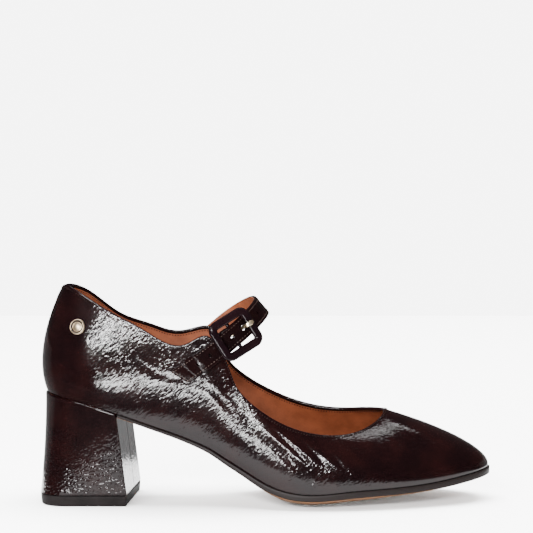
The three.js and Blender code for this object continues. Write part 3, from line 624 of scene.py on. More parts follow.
def catmull_rom(points: np.ndarray, at: np.ndarray) -> np.ndarray:
    """A centripetal spline through points.

    Args:
        points: the points it passes through.
        at: shares of the way, with every gap between points counted alike.

    Returns:
        One point for each share.
    """
    last = len(points) - 1
    place = np.clip(np.asarray(at, float), 0, 1) * last
    i = np.minimum(place.astype(int), last - 1)
    w = (place - i)[:, None]
    padded = np.concatenate([[2 * points[0] - points[1]], points, [2 * points[-1] - points[-2]]])
    p0, p1, p2, p3 = (padded[i + k] for k in range(4))
    d0, d1, d2 = (np.sqrt(np.linalg.norm(b - a, axis=1))[:, None] for a, b in ((p0, p1), (p1, p2), (p2, p3)))
    m1 = ((p1 - p0) / d0 - (p2 - p0) / (d0 + d1) + (p2 - p1) / d1) * d1
    m2 = ((p2 - p1) / d1 - (p3 - p1) / (d1 + d2) + (p3 - p2) / d2) * d1
    cubic = 2 * p1 - 2 * p2 + m1 + m2
    square = -3 * p1 + 3 * p2 - 2 * m1 - m2
    return p1 + m1 * w + square * w**2 + cubic * w**3


def smooth_path(points: np.ndarray, per_gap: int) -> np.ndarray:
    """A spline through points with a number of steps in each gap."""
    return catmull_rom(points, np.linspace(0, 1, per_gap * (len(points) - 1) + 1))


def round_section(width: float, height: float, corner: float, steps: int) -> np.ndarray:
    """A rounded rectangle about the middle.

    Args:
        width: its size across.
        height: its size up.
        corner: its corners' radius.
        steps: steps round each corner.

    Returns:
        Its outline as places across and up.
    """
    points = []
    for turn, (right, up) in enumerate(QUARTERS):
        for k in range(steps + 1):
            angle = math.pi / 2 * (turn + k / steps)
            points.append((right * (width / 2 - corner) + corner * math.cos(angle),
                           up * (height / 2 - corner) + corner * math.sin(angle)))
    return np.array(points)


def join(name: str, pieces: Sequence[bpy.types.Object]) -> bpy.types.Object:
    """Joins closed pieces that have no material yet.

    Args:
        name: the joined piece's name.
        pieces: objects that sit at the origin, which are removed.

    Returns:
        The joined object.
    """
    vertices: List[Place] = []
    faces: List[Tuple[int, ...]] = []
    for piece in pieces:
        start = len(vertices)
        mesh = piece.data
        vertices += [tuple(v.co) for v in mesh.vertices]
        faces += [tuple(start + v for v in polygon.vertices) for polygon in mesh.polygons]
        bpy.data.objects.remove(piece)
        bpy.data.meshes.remove(mesh)
    joined = bpy.data.meshes.new(name)
    joined.from_pydata(vertices, [], faces)
    return finish_mesh(joined, name, 50.0)


def plain_mesh(piece: bpy.types.Object) -> None:
    """Turns what an object's modifiers make into its own mesh and removes the modifiers."""
    graph = bpy.context.evaluated_depsgraph_get()
    result = bpy.data.meshes.new_from_object(piece.evaluated_get(graph), depsgraph=graph)
    piece.modifiers.clear()
    piece.data = result


def hand_over(piece: bpy.types.Object, finish: Optional[bpy.types.Material], slot: str, *nodes: str) -> None:
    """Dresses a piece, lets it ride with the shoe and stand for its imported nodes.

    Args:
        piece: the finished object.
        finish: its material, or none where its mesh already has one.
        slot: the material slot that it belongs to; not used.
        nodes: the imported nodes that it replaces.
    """
    if finish:
        piece.data.materials.append(finish)
    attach(piece, "root")
    if nodes:
        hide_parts(*nodes)
    LOG.info("%s: %d faces", piece.name, len(piece.data.polygons))


@dataclass
class StitchRow:
    """Stitches of one size and pitch along lines that lie on the leather."""

    name: str
    pitch: float = 1.45
    length: float = 1.05
    width: float = 0.36

    def tree(self, finish: bpy.types.Material) -> bpy.types.NodeTree:
        """Builds the tree that sets stitches along curves.

        Args:
            finish: the thread's material.

        Returns:
            A geometry tree with inputs for pitch, length and width in metres.
        """
        tree = bpy.data.node_groups.new("stitches_" + self.name, "GeometryNodeTree")
        interface = tree.interface
        interface.new_socket("Geometry", in_out="INPUT", socket_type="NodeSocketGeometry")
        for key in ("Pitch", "Length", "Width"):
            interface.new_socket(key, in_out="INPUT", socket_type="NodeSocketFloat")
        interface.new_socket("Geometry", in_out="OUTPUT", socket_type="NodeSocketGeometry")
        nodes = tree.nodes
        inputs = nodes.new("NodeGroupInput")
        output = nodes.new("NodeGroupOutput")
        curve = nodes.new("GeometryNodeMeshToCurve")
        resample = nodes.new("GeometryNodeResampleCurve")
        resample.mode = "LENGTH"
        bead = nodes.new("GeometryNodeMeshUVSphere")
        bead.inputs["Segments"].default_value = 8
        bead.inputs["Rings"].default_value = 5
        bead.inputs["Radius"].default_value = 0.5
        size = nodes.new("ShaderNodeCombineXYZ")
        shape = nodes.new("GeometryNodeTransform")
        tangent = nodes.new("GeometryNodeInputTangent")
        align = nodes.new("FunctionNodeAlignRotationToVector")
        align.axis = "Z"
        spread = nodes.new("GeometryNodeInstanceOnPoints")
        real = nodes.new("GeometryNodeRealizeInstances")
        paint = nodes.new("GeometryNodeSetMaterial")
        paint.inputs["Material"].default_value = finish
        for source, given, target, taken in (
                (inputs, "Geometry", curve, "Mesh"), (curve, "Curve", resample, "Curve"),
                (inputs, "Pitch", resample, "Length"), (inputs, "Width", size, "X"),
                (inputs, "Width", size, "Y"), (inputs, "Length", size, "Z"),
                (bead, "Mesh", shape, "Geometry"), (size, "Vector", shape, "Scale"),
                (tangent, "Tangent", align, "Vector"), (resample, "Curve", spread, "Points"),
                (shape, "Geometry", spread, "Instance"), (align, "Rotation", spread, "Rotation"),
                (spread, "Instances", real, "Geometry"), (real, "Geometry", paint, "Geometry"),
                (paint, "Geometry", output, "Geometry")):
            tree.links.new(source.outputs[given], target.inputs[taken])
        return tree

    def make(self, lines: Sequence[np.ndarray], last: Last, finish: bpy.types.Material) -> bpy.types.Object:
        """Sews along lines given in millimetres of the shoe.

        Args:
            lines: one array of points for each run of stitches.
            last: gives the shift into the frame.
            finish: the thread's material.

        Returns:
            One mesh with every stitch.
        """
        vertices: List[List[float]] = []
        edges: List[Tuple[int, int]] = []
        for line in lines:
            start = len(vertices)
            vertices += last.to_frame(line).tolist()
            edges += [(start + k, start + k + 1) for k in range(len(line) - 1)]
        mesh = bpy.data.meshes.new(self.name)
        mesh.from_pydata(vertices, edges, [])
        piece = bpy.data.objects.new(self.name, mesh)
        bpy.context.scene.collection.objects.link(piece)
        modifier = piece.modifiers.new("stitches", "NODES")
        modifier.node_group = self.tree(finish)
        sizes = {"Pitch": self.pitch, "Length": self.length, "Width": self.width}
        for item in modifier.node_group.interface.items_tree:
            if item.in_out == "INPUT" and item.name in sizes:
                modifier[item.identifier] = sizes[item.name] * MM
        plain_mesh(piece)
        piece.data.shade_smooth()
        return piece


CREASES: Tuple[Crease, ...] = (
    Crease(Side.OUTER, ((117.0, 40.0), (125.0, 32.5), (132.0, 25.0), (138.0, 18.0)), 1.2, 0.1),
    Crease(Side.OUTER, ((121.0, 43.0), (131.0, 34.5), (140.0, 26.0), (147.0, 17.5)), 1.1, 0.14),
    Crease(Side.OUTER, ((129.0, 42.0), (139.0, 34.0), (148.0, 26.0), (155.0, 17.5)), 1.3, 0.18),
    Crease(Side.OUTER, ((138.0, 41.0), (147.0, 34.0), (156.0, 26.0), (162.0, 18.5)), 1.1, 0.14),
    Crease(Side.OUTER, ((147.0, 38.0), (155.0, 32.0), (163.0, 26.0), (169.0, 19.0)), 1.2, 0.13),
    Crease(Side.OUTER, ((157.0, 36.0), (164.0, 31.0), (170.0, 25.5), (175.0, 20.5)), 1.0, 0.08),
    Crease(Side.OUTER, ((84.0, 66.0), (92.0, 61.0), (99.0, 54.0), (104.0, 46.0)), 1.6, 0.1),
    Crease(Side.OUTER, ((50.0, 78.0), (60.0, 72.0), (70.0, 68.5), (82.0, 67.0)), 1.8, 0.12),
    Crease(Side.INNER, ((119.0, 42.0), (129.0, 34.0), (138.0, 25.0), (145.0, 17.5)), 1.2, 0.15),
    Crease(Side.INNER, ((130.0, 42.0), (140.0, 33.5), (149.0, 25.5), (156.0, 18.0)), 1.3, 0.17),
    Crease(Side.INNER, ((142.0, 40.0), (151.0, 33.0), (160.0, 26.0), (167.0, 19.5)), 1.2, 0.13),
    Crease(Side.INNER, ((88.0, 66.0), (97.0, 60.0), (104.0, 52.0), (109.0, 44.0)), 1.6, 0.1),
    Crease(Side.INNER, ((52.0, 79.0), (61.0, 73.5), (71.0, 70.0), (83.0, 68.5)), 1.8, 0.12),
)


@dataclass
class Upper:
    """The pulled patent upper with its folded topline, its tan lining and its edge stitching."""

    last: Last
    columns: int = 760
    outer_rows: int = 92
    rim_rows: int = 9
    inner_rows: int = 14
    lining_rows: int = 40
    fold: float = 2.3
    fold_depth: float = 1.2
    rim_height: float = 0.75
    tuck: float = 0.25
    lining_lap: float = 0.25
    lining_gap: float = 0.08
    stitch_drop: float = 1.9
    stitch_stand: float = 0.25
    inner_stitch_drop: float = 0.5
    inner_stitch_stand: float = 0.02
    lump: float = 0.12
    lump_pitches: Tuple[float, float] = (10.0, 4.6)
    fine_lump: float = 0.25
    fine_start: float = 31.0
    least_worn: float = 0.3
    worn_start: Tuple[float, float] = (16.0, 40.0)
    worn_stop: Tuple[float, float] = (176.0, 204.0)
    shoulder: float = 0.55
    shoulder_place: float = 2.1
    seam_height: float = 0.3
    seam_width: float = 0.9
    seam_place: float = -0.4
    seam_front: float = 12.0
    seam_fade: Tuple[float, float] = (0.8, 0.88)
    relief_low: Tuple[float, float] = (0.01, 0.1)
    relief_high: Tuple[float, float] = (0.86, 0.97)
    fold_steps: Tuple[float, ...] = (0.15, 0.5, 0.85)
    stitch_places: int = 1200

    def relief(self, points: np.ndarray, t: np.ndarray) -> np.ndarray:
        """How far the worn leather stands out from the last's face.

        Args:
            points: places on the plain face.
            t: their places between the sole and the rim.

        Returns:
            Millimetres along the outward normal.
        """
        x = points[..., 0]
        soft = Lattice(7)
        worn = smooth(x, *self.worn_start) * (1 - smooth(x, *self.worn_stop))
        broad, fine = self.lump_pitches
        fine_lumps = self.fine_lump * soft(points + self.fine_start, fine)
        height = self.lump * (soft(points, broad) + fine_lumps) * mix(self.least_worn, 1.0, worn)
        for crease in CREASES:
            line = crease.places(self.last)
            centre = line[len(line) // 2]
            reach = np.linalg.norm(line[0] - centre) + 8 * crease.width
            near = np.linalg.norm(points - centre, axis=-1) < reach
            gap = np.linalg.norm(points[near][:, None] - line[None], axis=-1)
            share = gap.argmin(1) / (len(line) - 1)
            taper = np.sin(np.pi * np.clip(share, 0.02, 0.98)) ** 0.7
            off = gap.min(1) / crease.width
            shoulder = self.shoulder * np.exp(-((off - self.shoulder_place) ** 2))
            height[near] += crease.depth * taper * (shoulder - np.exp(-(off**2)))
        height *= smooth(t, *self.relief_low) * (1 - smooth(t, *self.relief_high))
        from_seam = (points[..., 1] - self.seam_place) / self.seam_width
        back_seam = np.exp(-(from_seam**2)) * (x < self.seam_front)
        return height + self.seam_height * back_seam * smooth(t, *self.seam_fade)

    def face(self, s: np.ndarray, t: np.ndarray, depth: float) -> np.ndarray:
        """Points of the wall at a depth under its outer face."""
        return self.last.wall_point(s, t) - depth * self.last.wall_normal(s, t)

    def below_rim(self, s: np.ndarray, drop: float) -> np.ndarray:
        """Finds the places that lie a drop below the rim.

        Args:
            s: places round the ring.
            drop: millimetres below the rim.

        Returns:
            The place t at each of them.
        """
        step = 0.01
        near = self.last.wall_point(s, 1.0) - self.last.wall_point(s, 1.0 - step)
        return 1.0 - drop * step / np.linalg.norm(near, axis=-1)

    def make_patent(self) -> bpy.types.Object:
        """The patent shell: up the outside, over the rounded rim and down under the lining."""
        last = self.last
        s = np.arange(self.columns) / self.columns * last.ring
        top = self.below_rim(s, self.rim_height)
        low = self.below_rim(s, self.fold)
        share = np.linspace(0, 1, self.outer_rows)
        share = 0.5 * share + 0.5 * (1 - np.cos(np.pi * share)) / 2
        t = share[None] * top[:, None]
        plain = last.wall_point(s[:, None], t)
        outer = plain + self.relief(plain, t)[..., None] * last.wall_normal(s[:, None], t)
        rim = last.wall_point(s, top)
        out = last.wall_normal(s, top)
        up = unit(last.wall_point(s, 1.0) - rim)
        rounds = [rim - last.wall / 2 * (1 - math.cos(a)) * out + self.rim_height * math.sin(a) * up
                  for a in np.linspace(0, math.pi, self.rim_rows + 2)[1:-1]]
        fold = [self.face(s, mix(top, low, k), last.wall) for k in self.fold_steps]
        tuck = [self.face(s, low - 0.002, last.wall - self.tuck), self.face(s, low - 0.004, self.fold_depth)]
        inner = [self.face(s, low * k, self.fold_depth) for k in np.linspace(0.97, 0, self.inner_rows)]
        rows = np.concatenate([outer, np.stack(rounds + fold + tuck + inner, axis=1)], axis=1)
        return Skin(rows, Ends.RING).make("upper_patent", last, 60.0)

    def make_lining(self) -> bpy.types.Object:
        """The tan lining, a thin shell inside the patent from the sole to its folded edge."""
        last = self.last
        s = np.arange(self.columns) / self.columns * last.ring
        top = self.below_rim(s, self.fold - self.lining_lap)
        share = np.linspace(0, 1, self.lining_rows)
        t = share[None] * top[:, None]
        inside = self.face(s[:, None], t, last.wall)
        hidden = self.face(s[:, None], t[:, ::-1], self.fold_depth + self.lining_gap)
        return Skin(np.concatenate([inside, hidden], axis=1), Ends.RING).make("upper_lining", last, 60.0)

    def stitch_lines(self) -> List[np.ndarray]:
        """The rows of stitches under the topline, outside and inside."""
        last = self.last
        s = np.linspace(0, last.ring, self.stitch_places)
        t = self.below_rim(s, self.stitch_drop)
        outer = self.face(s, t, -self.stitch_stand)
        t = self.below_rim(s, self.fold + self.inner_stitch_drop)
        inner = self.face(s, t, last.wall + self.inner_stitch_stand)
        return [outer, inner]

    def build(self, finishes: "Finishes") -> None:
        """Builds, dresses and hands over the upper's pieces."""
        hand_over(self.make_patent(), finishes.patent, "patent_upper", "upper")
        hand_over(self.make_lining(), finishes.lining, "insole_leather", "upper")
        row = StitchRow("topline_stitches", pitch=1.5, length=0.75, width=0.72)
        stitches = row.make(self.stitch_lines(), self.last, finishes.thread)
        hand_over(stitches, None, "patent_upper")


@dataclass
class StrapFrame:
    """Directions and places of the strap and its buckle, in millimetres of the shoe."""

    last: Last
    angle: float = 40.4
    shift: float = -0.7
    inner_shift: float = -3.5
    rise: float = 31.0
    buckle_out: float = 12.8
    buckle_stand: float = 2.9
    buckle_tilt: float = 18.0
    buckle_turn: float = 8.9

    def __post_init__(self) -> None:
        """Works out the directions from the rim's two peaks."""
        angle, tilt = math.radians(self.angle), math.radians(self.buckle_tilt)
        self.slope = np.array([math.cos(angle), 0.0, math.sin(angle)])
        self.width = np.array([math.sin(angle), 0.0, -math.cos(angle)])
        rims = self.last.rims
        self.peak = (rims["peak rear"] + rims["peak front"]) / 2
        self.inner_peak = (rims["inner peak rear"] + rims["inner peak front"]) / 2
        self.peak_q = float(self.peak @ self.slope)
        self.inner_q = float(self.inner_peak @ self.slope)
        self.outer_w = float(self.peak @ self.width) + self.shift
        self.inner_w = float(self.inner_peak @ self.width) + self.inner_shift
        self.centre = self.place(self.peak_q + self.buckle_out, self.peak[1] - self.buckle_stand,
                                 self.outer_w)
        aside = np.array([0.0, 1.0, 0.0])
        self.along = self.slope * math.cos(tilt) + aside * math.sin(tilt)
        self.stand = self.slope * math.sin(tilt) - aside * math.cos(tilt)
        swing = math.radians(self.buckle_turn)
        self.metal_along = self.along * math.cos(swing) + self.width * math.sin(swing)
        self.metal_width = self.width * math.cos(swing) - self.along * math.sin(swing)

    def place(self, q: float, y: float, w: float) -> np.ndarray:
        """A place by how far it lies up the strap's slope, in y, and across its width."""
        return self.slope * q + self.width * w + np.array([0.0, y, 0.0])

    def wall_under(self, q: float, w: float, side: Side) -> float:
        """Finds the upper's outer face under a place of the strap.

        Args:
            q: how far the place lies up the strap's slope.
            w: how far it lies across the strap's width.
            side: the side of the foot.

        Returns:
            The face's y.
        """
        place = self.place(q, 0.0, w)
        s, t = self.last.touch(place[0], place[2], side)
        return float(self.last.wall_point(s, t)[1])

    def at_buckle(self, a: np.ndarray, n: np.ndarray, w: np.ndarray) -> np.ndarray:
        """Places by how far they lie along, off and across the strap where it passes the buckle."""
        a, n, w = np.broadcast_arrays(np.asarray(a, float), n, w)
        flat = a[..., None] * self.along + w[..., None] * self.width
        return self.centre + flat + n[..., None] * self.stand

    def at_metal(self, a: np.ndarray, n: np.ndarray, w: np.ndarray) -> np.ndarray:
        """Places by how far they lie along, off and across the buckle, which sits askew on the strap."""
        a, n, w = np.broadcast_arrays(np.asarray(a, float), n, w)
        flat = a[..., None] * self.metal_along + w[..., None] * self.metal_width
        return self.centre + flat + n[..., None] * self.stand


@dataclass
class Strap:
    """The strap from its stitched root over the instep, through the buckle, to its tail."""

    frame: StrapFrame
    width: float = 11.2
    thickness: float = 1.8
    tail: float = 24.0
    tail_slant: float = 0.35
    tail_drift: float = -1.9
    ramp: float = 5.0
    root_end: float = 15.0
    hole_pitch: float = 7.5
    hole_radius: float = 1.0
    prong_hole: float = 3.4
    prong_width: float = 2.2
    lap_gap: float = 0.5
    gap: float = 0.3
    tab_thickness: float = 1.5
    tab_lap: float = 12.0
    edge_round: float = 0.62
    tail_corner: float = 1.6
    holes_below: int = 4
    holes_above: int = 2
    hole_sides: int = 28
    cut_reach: float = 3.0
    stitch_inset: float = 1.65
    stitch_stand: float = 0.02
    stitch_places: int = 700
    side_stitches: Tuple[float, float] = (0.008, 0.992)
    end_stitches: Tuple[float, float] = (0.012, 0.988)
    bar_radius: float = 1.0
    bar_drop: float = 5.0
    buckle_length: float = 24.2
    buckle_bar: float = 4.5
    buckle_thickness: float = 3.0
    prong_setback: float = 1.7
    prong_short: float = 1.0
    loop: Tuple[Place, ...] = (
        (0.90, 0.26, 0.05), (1.00, 0.52, 0.20), (0.90, 0.78, 0.55), (0.62, 0.96, 0.85), (0.32, 1.02, 1.00))

    def knots(self, v: float) -> np.ndarray:
        """The points that the strap's middle surface passes through at one lane.

        Args:
            v: the lane, from -1 to 1 across the strap.

        Returns:
            The lane's points from the tail to the root.
        """
        f = self.frame
        half, thick = self.width / 2 * v, self.thickness / 2
        middle = (self.buckle_length - self.buckle_bar) / 2
        under = -(self.buckle_thickness / 2 + self.lap_gap + self.gap + thick)
        over = self.bar_radius + self.gap + self.tab_thickness + self.gap + thick - self.bar_drop
        layer = 2 * self.lap_gap + self.tab_thickness + self.thickness
        line = []
        tail_end = f.peak_q - self.tail + self.tail_slant * half
        tab_end = f.peak_q - self.tab_lap
        for k in range(8):
            q = mix(tail_end, f.peak_q - 0.5, k / 7)
            on_tab = float(smooth(q, tab_end - self.ramp, tab_end + self.gap))
            lift = mix(self.lap_gap + thick, layer - thick, on_tab)
            w = f.outer_w + half + self.tail_drift * (f.peak_q - q) / self.tail
            line.append(f.place(q, f.wall_under(q, w, Side.OUTER) - lift, w))
        line += [f.at_buckle(a, n, half) for a, n in ((-middle, under), (0.0, over), (middle, under))]
        span = f.inner_peak[1] - f.peak[1]
        for rise, across, drift in self.loop:
            q = mix(mix(f.peak_q, f.inner_q, across), f.peak_q + f.rise, rise)
            line.append(f.place(q, f.peak[1] + span * across, mix(f.outer_w, f.inner_w, drift) + half))
        for k in range(5):
            q = f.inner_q - 0.5 - self.root_end * (k / 4)
            y = f.wall_under(q, f.inner_w + half, Side.INNER) + self.lap_gap + thick
            line.append(f.place(q, y, f.inner_w + half))
        return np.array(line)

    def __post_init__(self) -> None:
        """Keeps three lanes, from which every other lane is bent."""
        self.lanes = {v: self.knots(v) for v in (-1.0, 0.0, 1.0)}

    def point(self, u: np.ndarray, v: float) -> np.ndarray:
        """Points of the middle surface along one lane."""
        left, middle, right = (catmull_rom(self.lanes[k], u) for k in (-1.0, 0.0, 1.0))
        return left * v * (v - 1) / 2 + middle * (1 - v * v) + right * v * (v + 1) / 2

    def normal(self, u: np.ndarray, v: float) -> np.ndarray:
        """Normals that point away from the foot along one lane.

        Args:
            u: shares of the strap's way.
            v: the lane, from -1 to 1 across the strap.

        Returns:
            One unit vector for each share.
        """
        step = 0.002
        along = self.point(np.minimum(u + step, 1), v) - self.point(np.maximum(u - step, 0), v)
        return unit(np.cross(self.frame.width, along))

    def lift(self, v: float, n: float, u: np.ndarray) -> np.ndarray:
        """Points at a lane and at a height over the middle surface."""
        return self.point(u, v) + n * self.normal(u, v)

    def make_body(self) -> bpy.types.Object:
        """The strap's body with soft edges and a rounded tail."""
        u = np.linspace(0, 1, 20 * (len(self.lanes[0.0]) - 1) + 1)
        section = round_section(self.width, self.thickness, self.edge_round, 6)
        flat = np.linspace(-1, 1, 15)[1:-1] * (self.width / 2 - self.edge_round)
        top = [(x, self.thickness / 2) for x in flat[::-1]]
        under = [(x, -y) for x, y in top[::-1]]
        section = np.concatenate([section[:7], top, section[7:21], under, section[21:]])
        rows = np.stack([self.lift(x / (self.width / 2), n, u) for x, n in section], axis=1)
        centre = rows.mean(axis=1, keepdims=True)
        walked = walked_along(self.point(u, 0.0))
        from_end = np.minimum(walked, walked[-1] - walked)
        corner = self.tail_corner
        for k in np.where(from_end < corner)[0]:
            rest = 1 - from_end[k] / corner
            narrow = 1 - (1 - math.sqrt(max(1 - rest * rest, 0.0))) * corner / (self.width / 2)
            rows[k] = centre[k] + (rows[k] - centre[k]) * max(narrow, 1 - corner / (self.width / 2))
        return Skin(rows, Ends.CAPPED).make("strap_leather", self.frame.last, 50.0)

    @property
    def prong_reach(self) -> float:
        """How far up the buckle the prong comes through the strap."""
        return self.buckle_length / 2 - self.buckle_bar - self.prong_setback

    def hole_places(self) -> List[Tuple[float, bool]]:
        """Shares of the strap's way at which it is punched, and whether for the prong."""
        u = np.linspace(0, 1, 4001)
        line = self.point(u, 0.0)
        walked = walked_along(line)
        prong = self.frame.at_buckle(self.prong_reach, 0.0, 0.0)
        nearest = walked[np.linalg.norm(line - prong, axis=1).argmin()]
        turns = range(-self.holes_below, self.holes_above + 1)
        return [(float(np.interp(nearest + k * self.hole_pitch, walked, u)), k == 0) for k in turns]

    def punch(self, body: bpy.types.Object) -> None:
        """Cuts the round holes and the prong's longer hole through the strap.

        Args:
            body: the strap's mesh.
        """
        cutters = []
        ring = np.linspace(0, 2 * math.pi, self.hole_sides, endpoint=False)[:, None]
        for share, for_prong in self.hole_places():
            u = np.array([share])
            centre = self.point(u, 0.0)[0]
            out = self.normal(u, 0.0)[0]
            across = self.frame.width
            along = np.cross(across, out)
            length = self.prong_hole / 2 if for_prong else self.hole_radius
            wide = self.prong_width / 2 + self.gap if for_prong else self.hole_radius
            loop = centre + length * np.cos(ring) * along + wide * np.sin(ring) * across
            rows = np.stack([loop - self.cut_reach * out, loop + self.cut_reach * out])
            cutters.append(Skin(rows, Ends.CAPPED).make("strap_cut", self.frame.last))
        cutter = join("strap_cuts", cutters)
        modifier = body.modifiers.new("holes", "BOOLEAN")
        modifier.object = cutter
        modifier.operation = "DIFFERENCE"
        modifier.solver = "EXACT"
        plain_mesh(body)
        bpy.data.objects.remove(cutter)

    def stitch_lines(self) -> List[np.ndarray]:
        """Stitches round the strap's edges on its outer side, and across its ends."""
        inset = 1 - self.stitch_inset / (self.width / 2)
        u = np.linspace(*self.side_stitches, self.stitch_places)
        height = self.thickness / 2 + self.stitch_stand
        sides = [self.lift(v, height, u) for v in (-inset, inset)]
        lanes = np.linspace(-inset, inset, 14)
        ends = [np.array([self.lift(v, height, np.array([end]))[0] for v in lanes])
                for end in self.end_stitches]
        return sides + ends

    def build(self, finishes: "Finishes") -> None:
        """Builds, dresses and hands over the strap and its stitches."""
        body = self.make_body()
        self.punch(body)
        body.data.materials.append(finishes.strap)
        body.data.materials.append(finishes.lining)
        self.line_inside(body)
        body.data.shade_smooth()
        body.data.set_sharp_from_angle(angle=math.radians(50.0))
        hand_over(body, None, "patent_strap", "strap")
        row = StitchRow("strap_stitches", pitch=1.75, length=1.05, width=0.3)
        stitches = row.make(self.stitch_lines(), self.frame.last, finishes.strap_thread)
        hand_over(stitches, None, "patent_strap")

    def line_inside(self, body: bpy.types.Object) -> None:
        """Gives the strap's face towards the foot the lining's finish.

        Args:
            body: the strap's mesh, with the patent's finish first and the lining's second.
        """
        u = np.linspace(0, 1, 600)
        middle = self.frame.last.to_frame(self.point(u, 0.0))
        out = self.normal(u, 0.0)
        for polygon in body.data.polygons:
            i = int(((middle - np.array(polygon.center)) ** 2).sum(1).argmin())
            inward = float(np.array(polygon.normal) @ out[i]) < -0.6
            polygon.material_index = 1 if inward else 0


@dataclass
class Buckle:
    """The patent-covered frame with its let-down bar, the sewn tab and the metal prong."""

    frame: StrapFrame
    strap: Strap
    wide: float = 22.7
    corner: float = 5.2
    prong_thickness: float = 1.2

    def bars(self) -> bpy.types.Object:
        """The rounded rectangle of crowned bars."""
        s = self.strap
        half_long = (s.buckle_length - s.buckle_bar) / 2
        half_wide = (self.wide - s.buckle_bar) / 2
        corner = self.corner - s.buckle_bar / 2
        rows = []
        around = np.linspace(0, 2 * math.pi, 32, endpoint=False)
        across = np.sign(np.cos(around)) * np.abs(np.cos(around)) ** 0.8 * s.buckle_bar / 2
        up = np.sign(np.sin(around)) * np.abs(np.sin(around)) ** 0.9 * s.buckle_thickness / 2
        for turn, (sign_a, sign_w) in enumerate(QUARTERS):
            for k in range(15):
                angle = math.pi / 2 * (turn + k / 14)
                a = sign_a * (half_long - corner) + math.cos(angle) * (corner + across)
                w = sign_w * (half_wide - corner) + math.sin(angle) * (corner + across)
                rows.append(self.frame.at_metal(a, up, -w))
        return Skin(np.array(rows), Ends.RING).make("buckle_bars", self.frame.last)

    def rod(self, name: str, ends: Tuple[Place, Place], radii: Tuple[float, float]) -> bpy.types.Object:
        """A rod with rounded ends.

        Args:
            name: the piece's name.
            ends: its two ends, each as along, off and across the buckle.
            radii: half its thickness one way and the other.

        Returns:
            The rod as a closed mesh.
        """
        start, end = (self.frame.at_metal(*p) for p in ends)
        way = unit(end - start)
        aside = unit(np.cross(way, self.frame.along + 0.3 * self.frame.stand))
        beside = np.cross(way, aside)
        turn = np.linspace(0, 2 * math.pi, 20, endpoint=False)[:, None]
        ring = radii[0] * np.cos(turn) * aside + radii[1] * np.sin(turn) * beside
        length = np.linalg.norm(end - start)
        rows = []
        for share in np.linspace(0, 1, 21):
            rest = min(share, 1 - share) * length / 0.5
            thin = math.sqrt(max(1 - (1 - min(rest, 1)) ** 2, 0.05))
            rows.append(start + share * (end - start) + thin * ring)
        return Skin(np.array(rows), Ends.CAPPED).make(name, self.frame.last)

    def swept(self, name: str, path: np.ndarray, width: np.ndarray,
              thickness: np.ndarray) -> bpy.types.Object:
        """A flat bar along a path in the plane of the strap's way.

        Args:
            name: the piece's name.
            path: places as along and off the buckle.
            width: the bar's width at each place.
            thickness: its thickness at each place.

        Returns:
            The bar as a closed mesh.
        """
        tangent = unit(np.gradient(path, axis=0))
        aside = self.strap.prong_reach * math.sin(math.radians(self.frame.buckle_turn))
        out = np.stack([-tangent[:, 1], tangent[:, 0]], axis=1)
        rows = []
        for p, n, w, t in zip(path, out, width, thickness):
            section = round_section(w, t, min(w, t) * 0.42, 5)
            a = p[0] + section[:, 1] * n[0]
            off = p[1] + section[:, 1] * n[1]
            rows.append(self.frame.at_metal(a, off, section[:, 0] - aside))
        return Skin(np.array(rows), Ends.CAPPED).make(name, self.frame.last)

    def make_prong(self) -> bpy.types.Object:
        """The prong: round the bar, up through the strap and onto the front bar."""
        s = self.strap
        hold = s.bar_radius + s.gap + self.prong_thickness / 2
        inside = s.buckle_length / 2 - s.buckle_bar
        top = s.buckle_thickness / 2 + s.gap + self.prong_thickness / 2
        turn = np.radians(np.linspace(-250, 80, 26))
        ring = np.stack([hold * np.sin(turn), -s.bar_drop + hold * np.cos(turn)], axis=1)
        knots = np.array([ring[-1], (s.prong_reach - s.prong_hole / 3, -s.bar_drop + hold),
                          (s.prong_reach + s.prong_hole / 4, 0.0), (inside - s.gap, top),
                          (s.buckle_length / 2 - s.prong_short, top)])
        arm = smooth_path(knots, 10)[1:]
        path = np.concatenate([ring, arm])
        share = np.clip((np.arange(len(path)) - (len(path) - 4)) / 3, 0, 1)
        width = s.prong_width * (1 - 0.45 * share)
        return self.swept("prong_bar", path, width, self.prong_thickness * (1 - 0.4 * share))

    def make_tab(self) -> bpy.types.Object:
        """The sewn tab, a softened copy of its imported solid."""
        mesh = frame["nodes"]["buckle_tab"].data.copy()
        mesh.materials.clear()
        piece = bpy.data.objects.new("tab_leather", mesh)
        bpy.context.scene.collection.objects.link(piece)
        weld = piece.modifiers.new("weld", "WELD")
        weld.merge_threshold = 1e-5
        bevel = piece.modifiers.new("soft_edges", "BEVEL")
        bevel.width = 0.25 * MM
        bevel.segments = 3
        bevel.limit_method = "ANGLE"
        plain_mesh(piece)
        piece.data.shade_smooth()
        piece.data.set_sharp_from_angle(angle=math.radians(45.0))
        return piece

    def build(self, finishes: "Finishes") -> None:
        """Builds, dresses and hands over the buckle's pieces."""
        s = self.strap
        half_wide = (self.wide - s.buckle_bar) / 2
        ends = ((0, -s.bar_drop, -half_wide), (0, -s.bar_drop, half_wide))
        bars = [self.bars(), self.rod("bar", ends, (s.bar_radius, s.bar_radius))]
        for side in (-1, 1):
            ends = ((0, -s.bar_drop - s.bar_radius, side * half_wide), (0, 0, side * half_wide))
            bars.append(self.rod("lug", ends, (s.bar_radius, s.buckle_bar / 4)))
        cover = join("buckle_cover", bars)
        hand_over(cover, finishes.buckle, "patent_buckle", "buckle_frame")
        hand_over(self.make_tab(), finishes.patent, "patent_strap", "buckle_tab")
        hand_over(self.make_prong(), finishes.brass, "pale_gold", "buckle_prong")


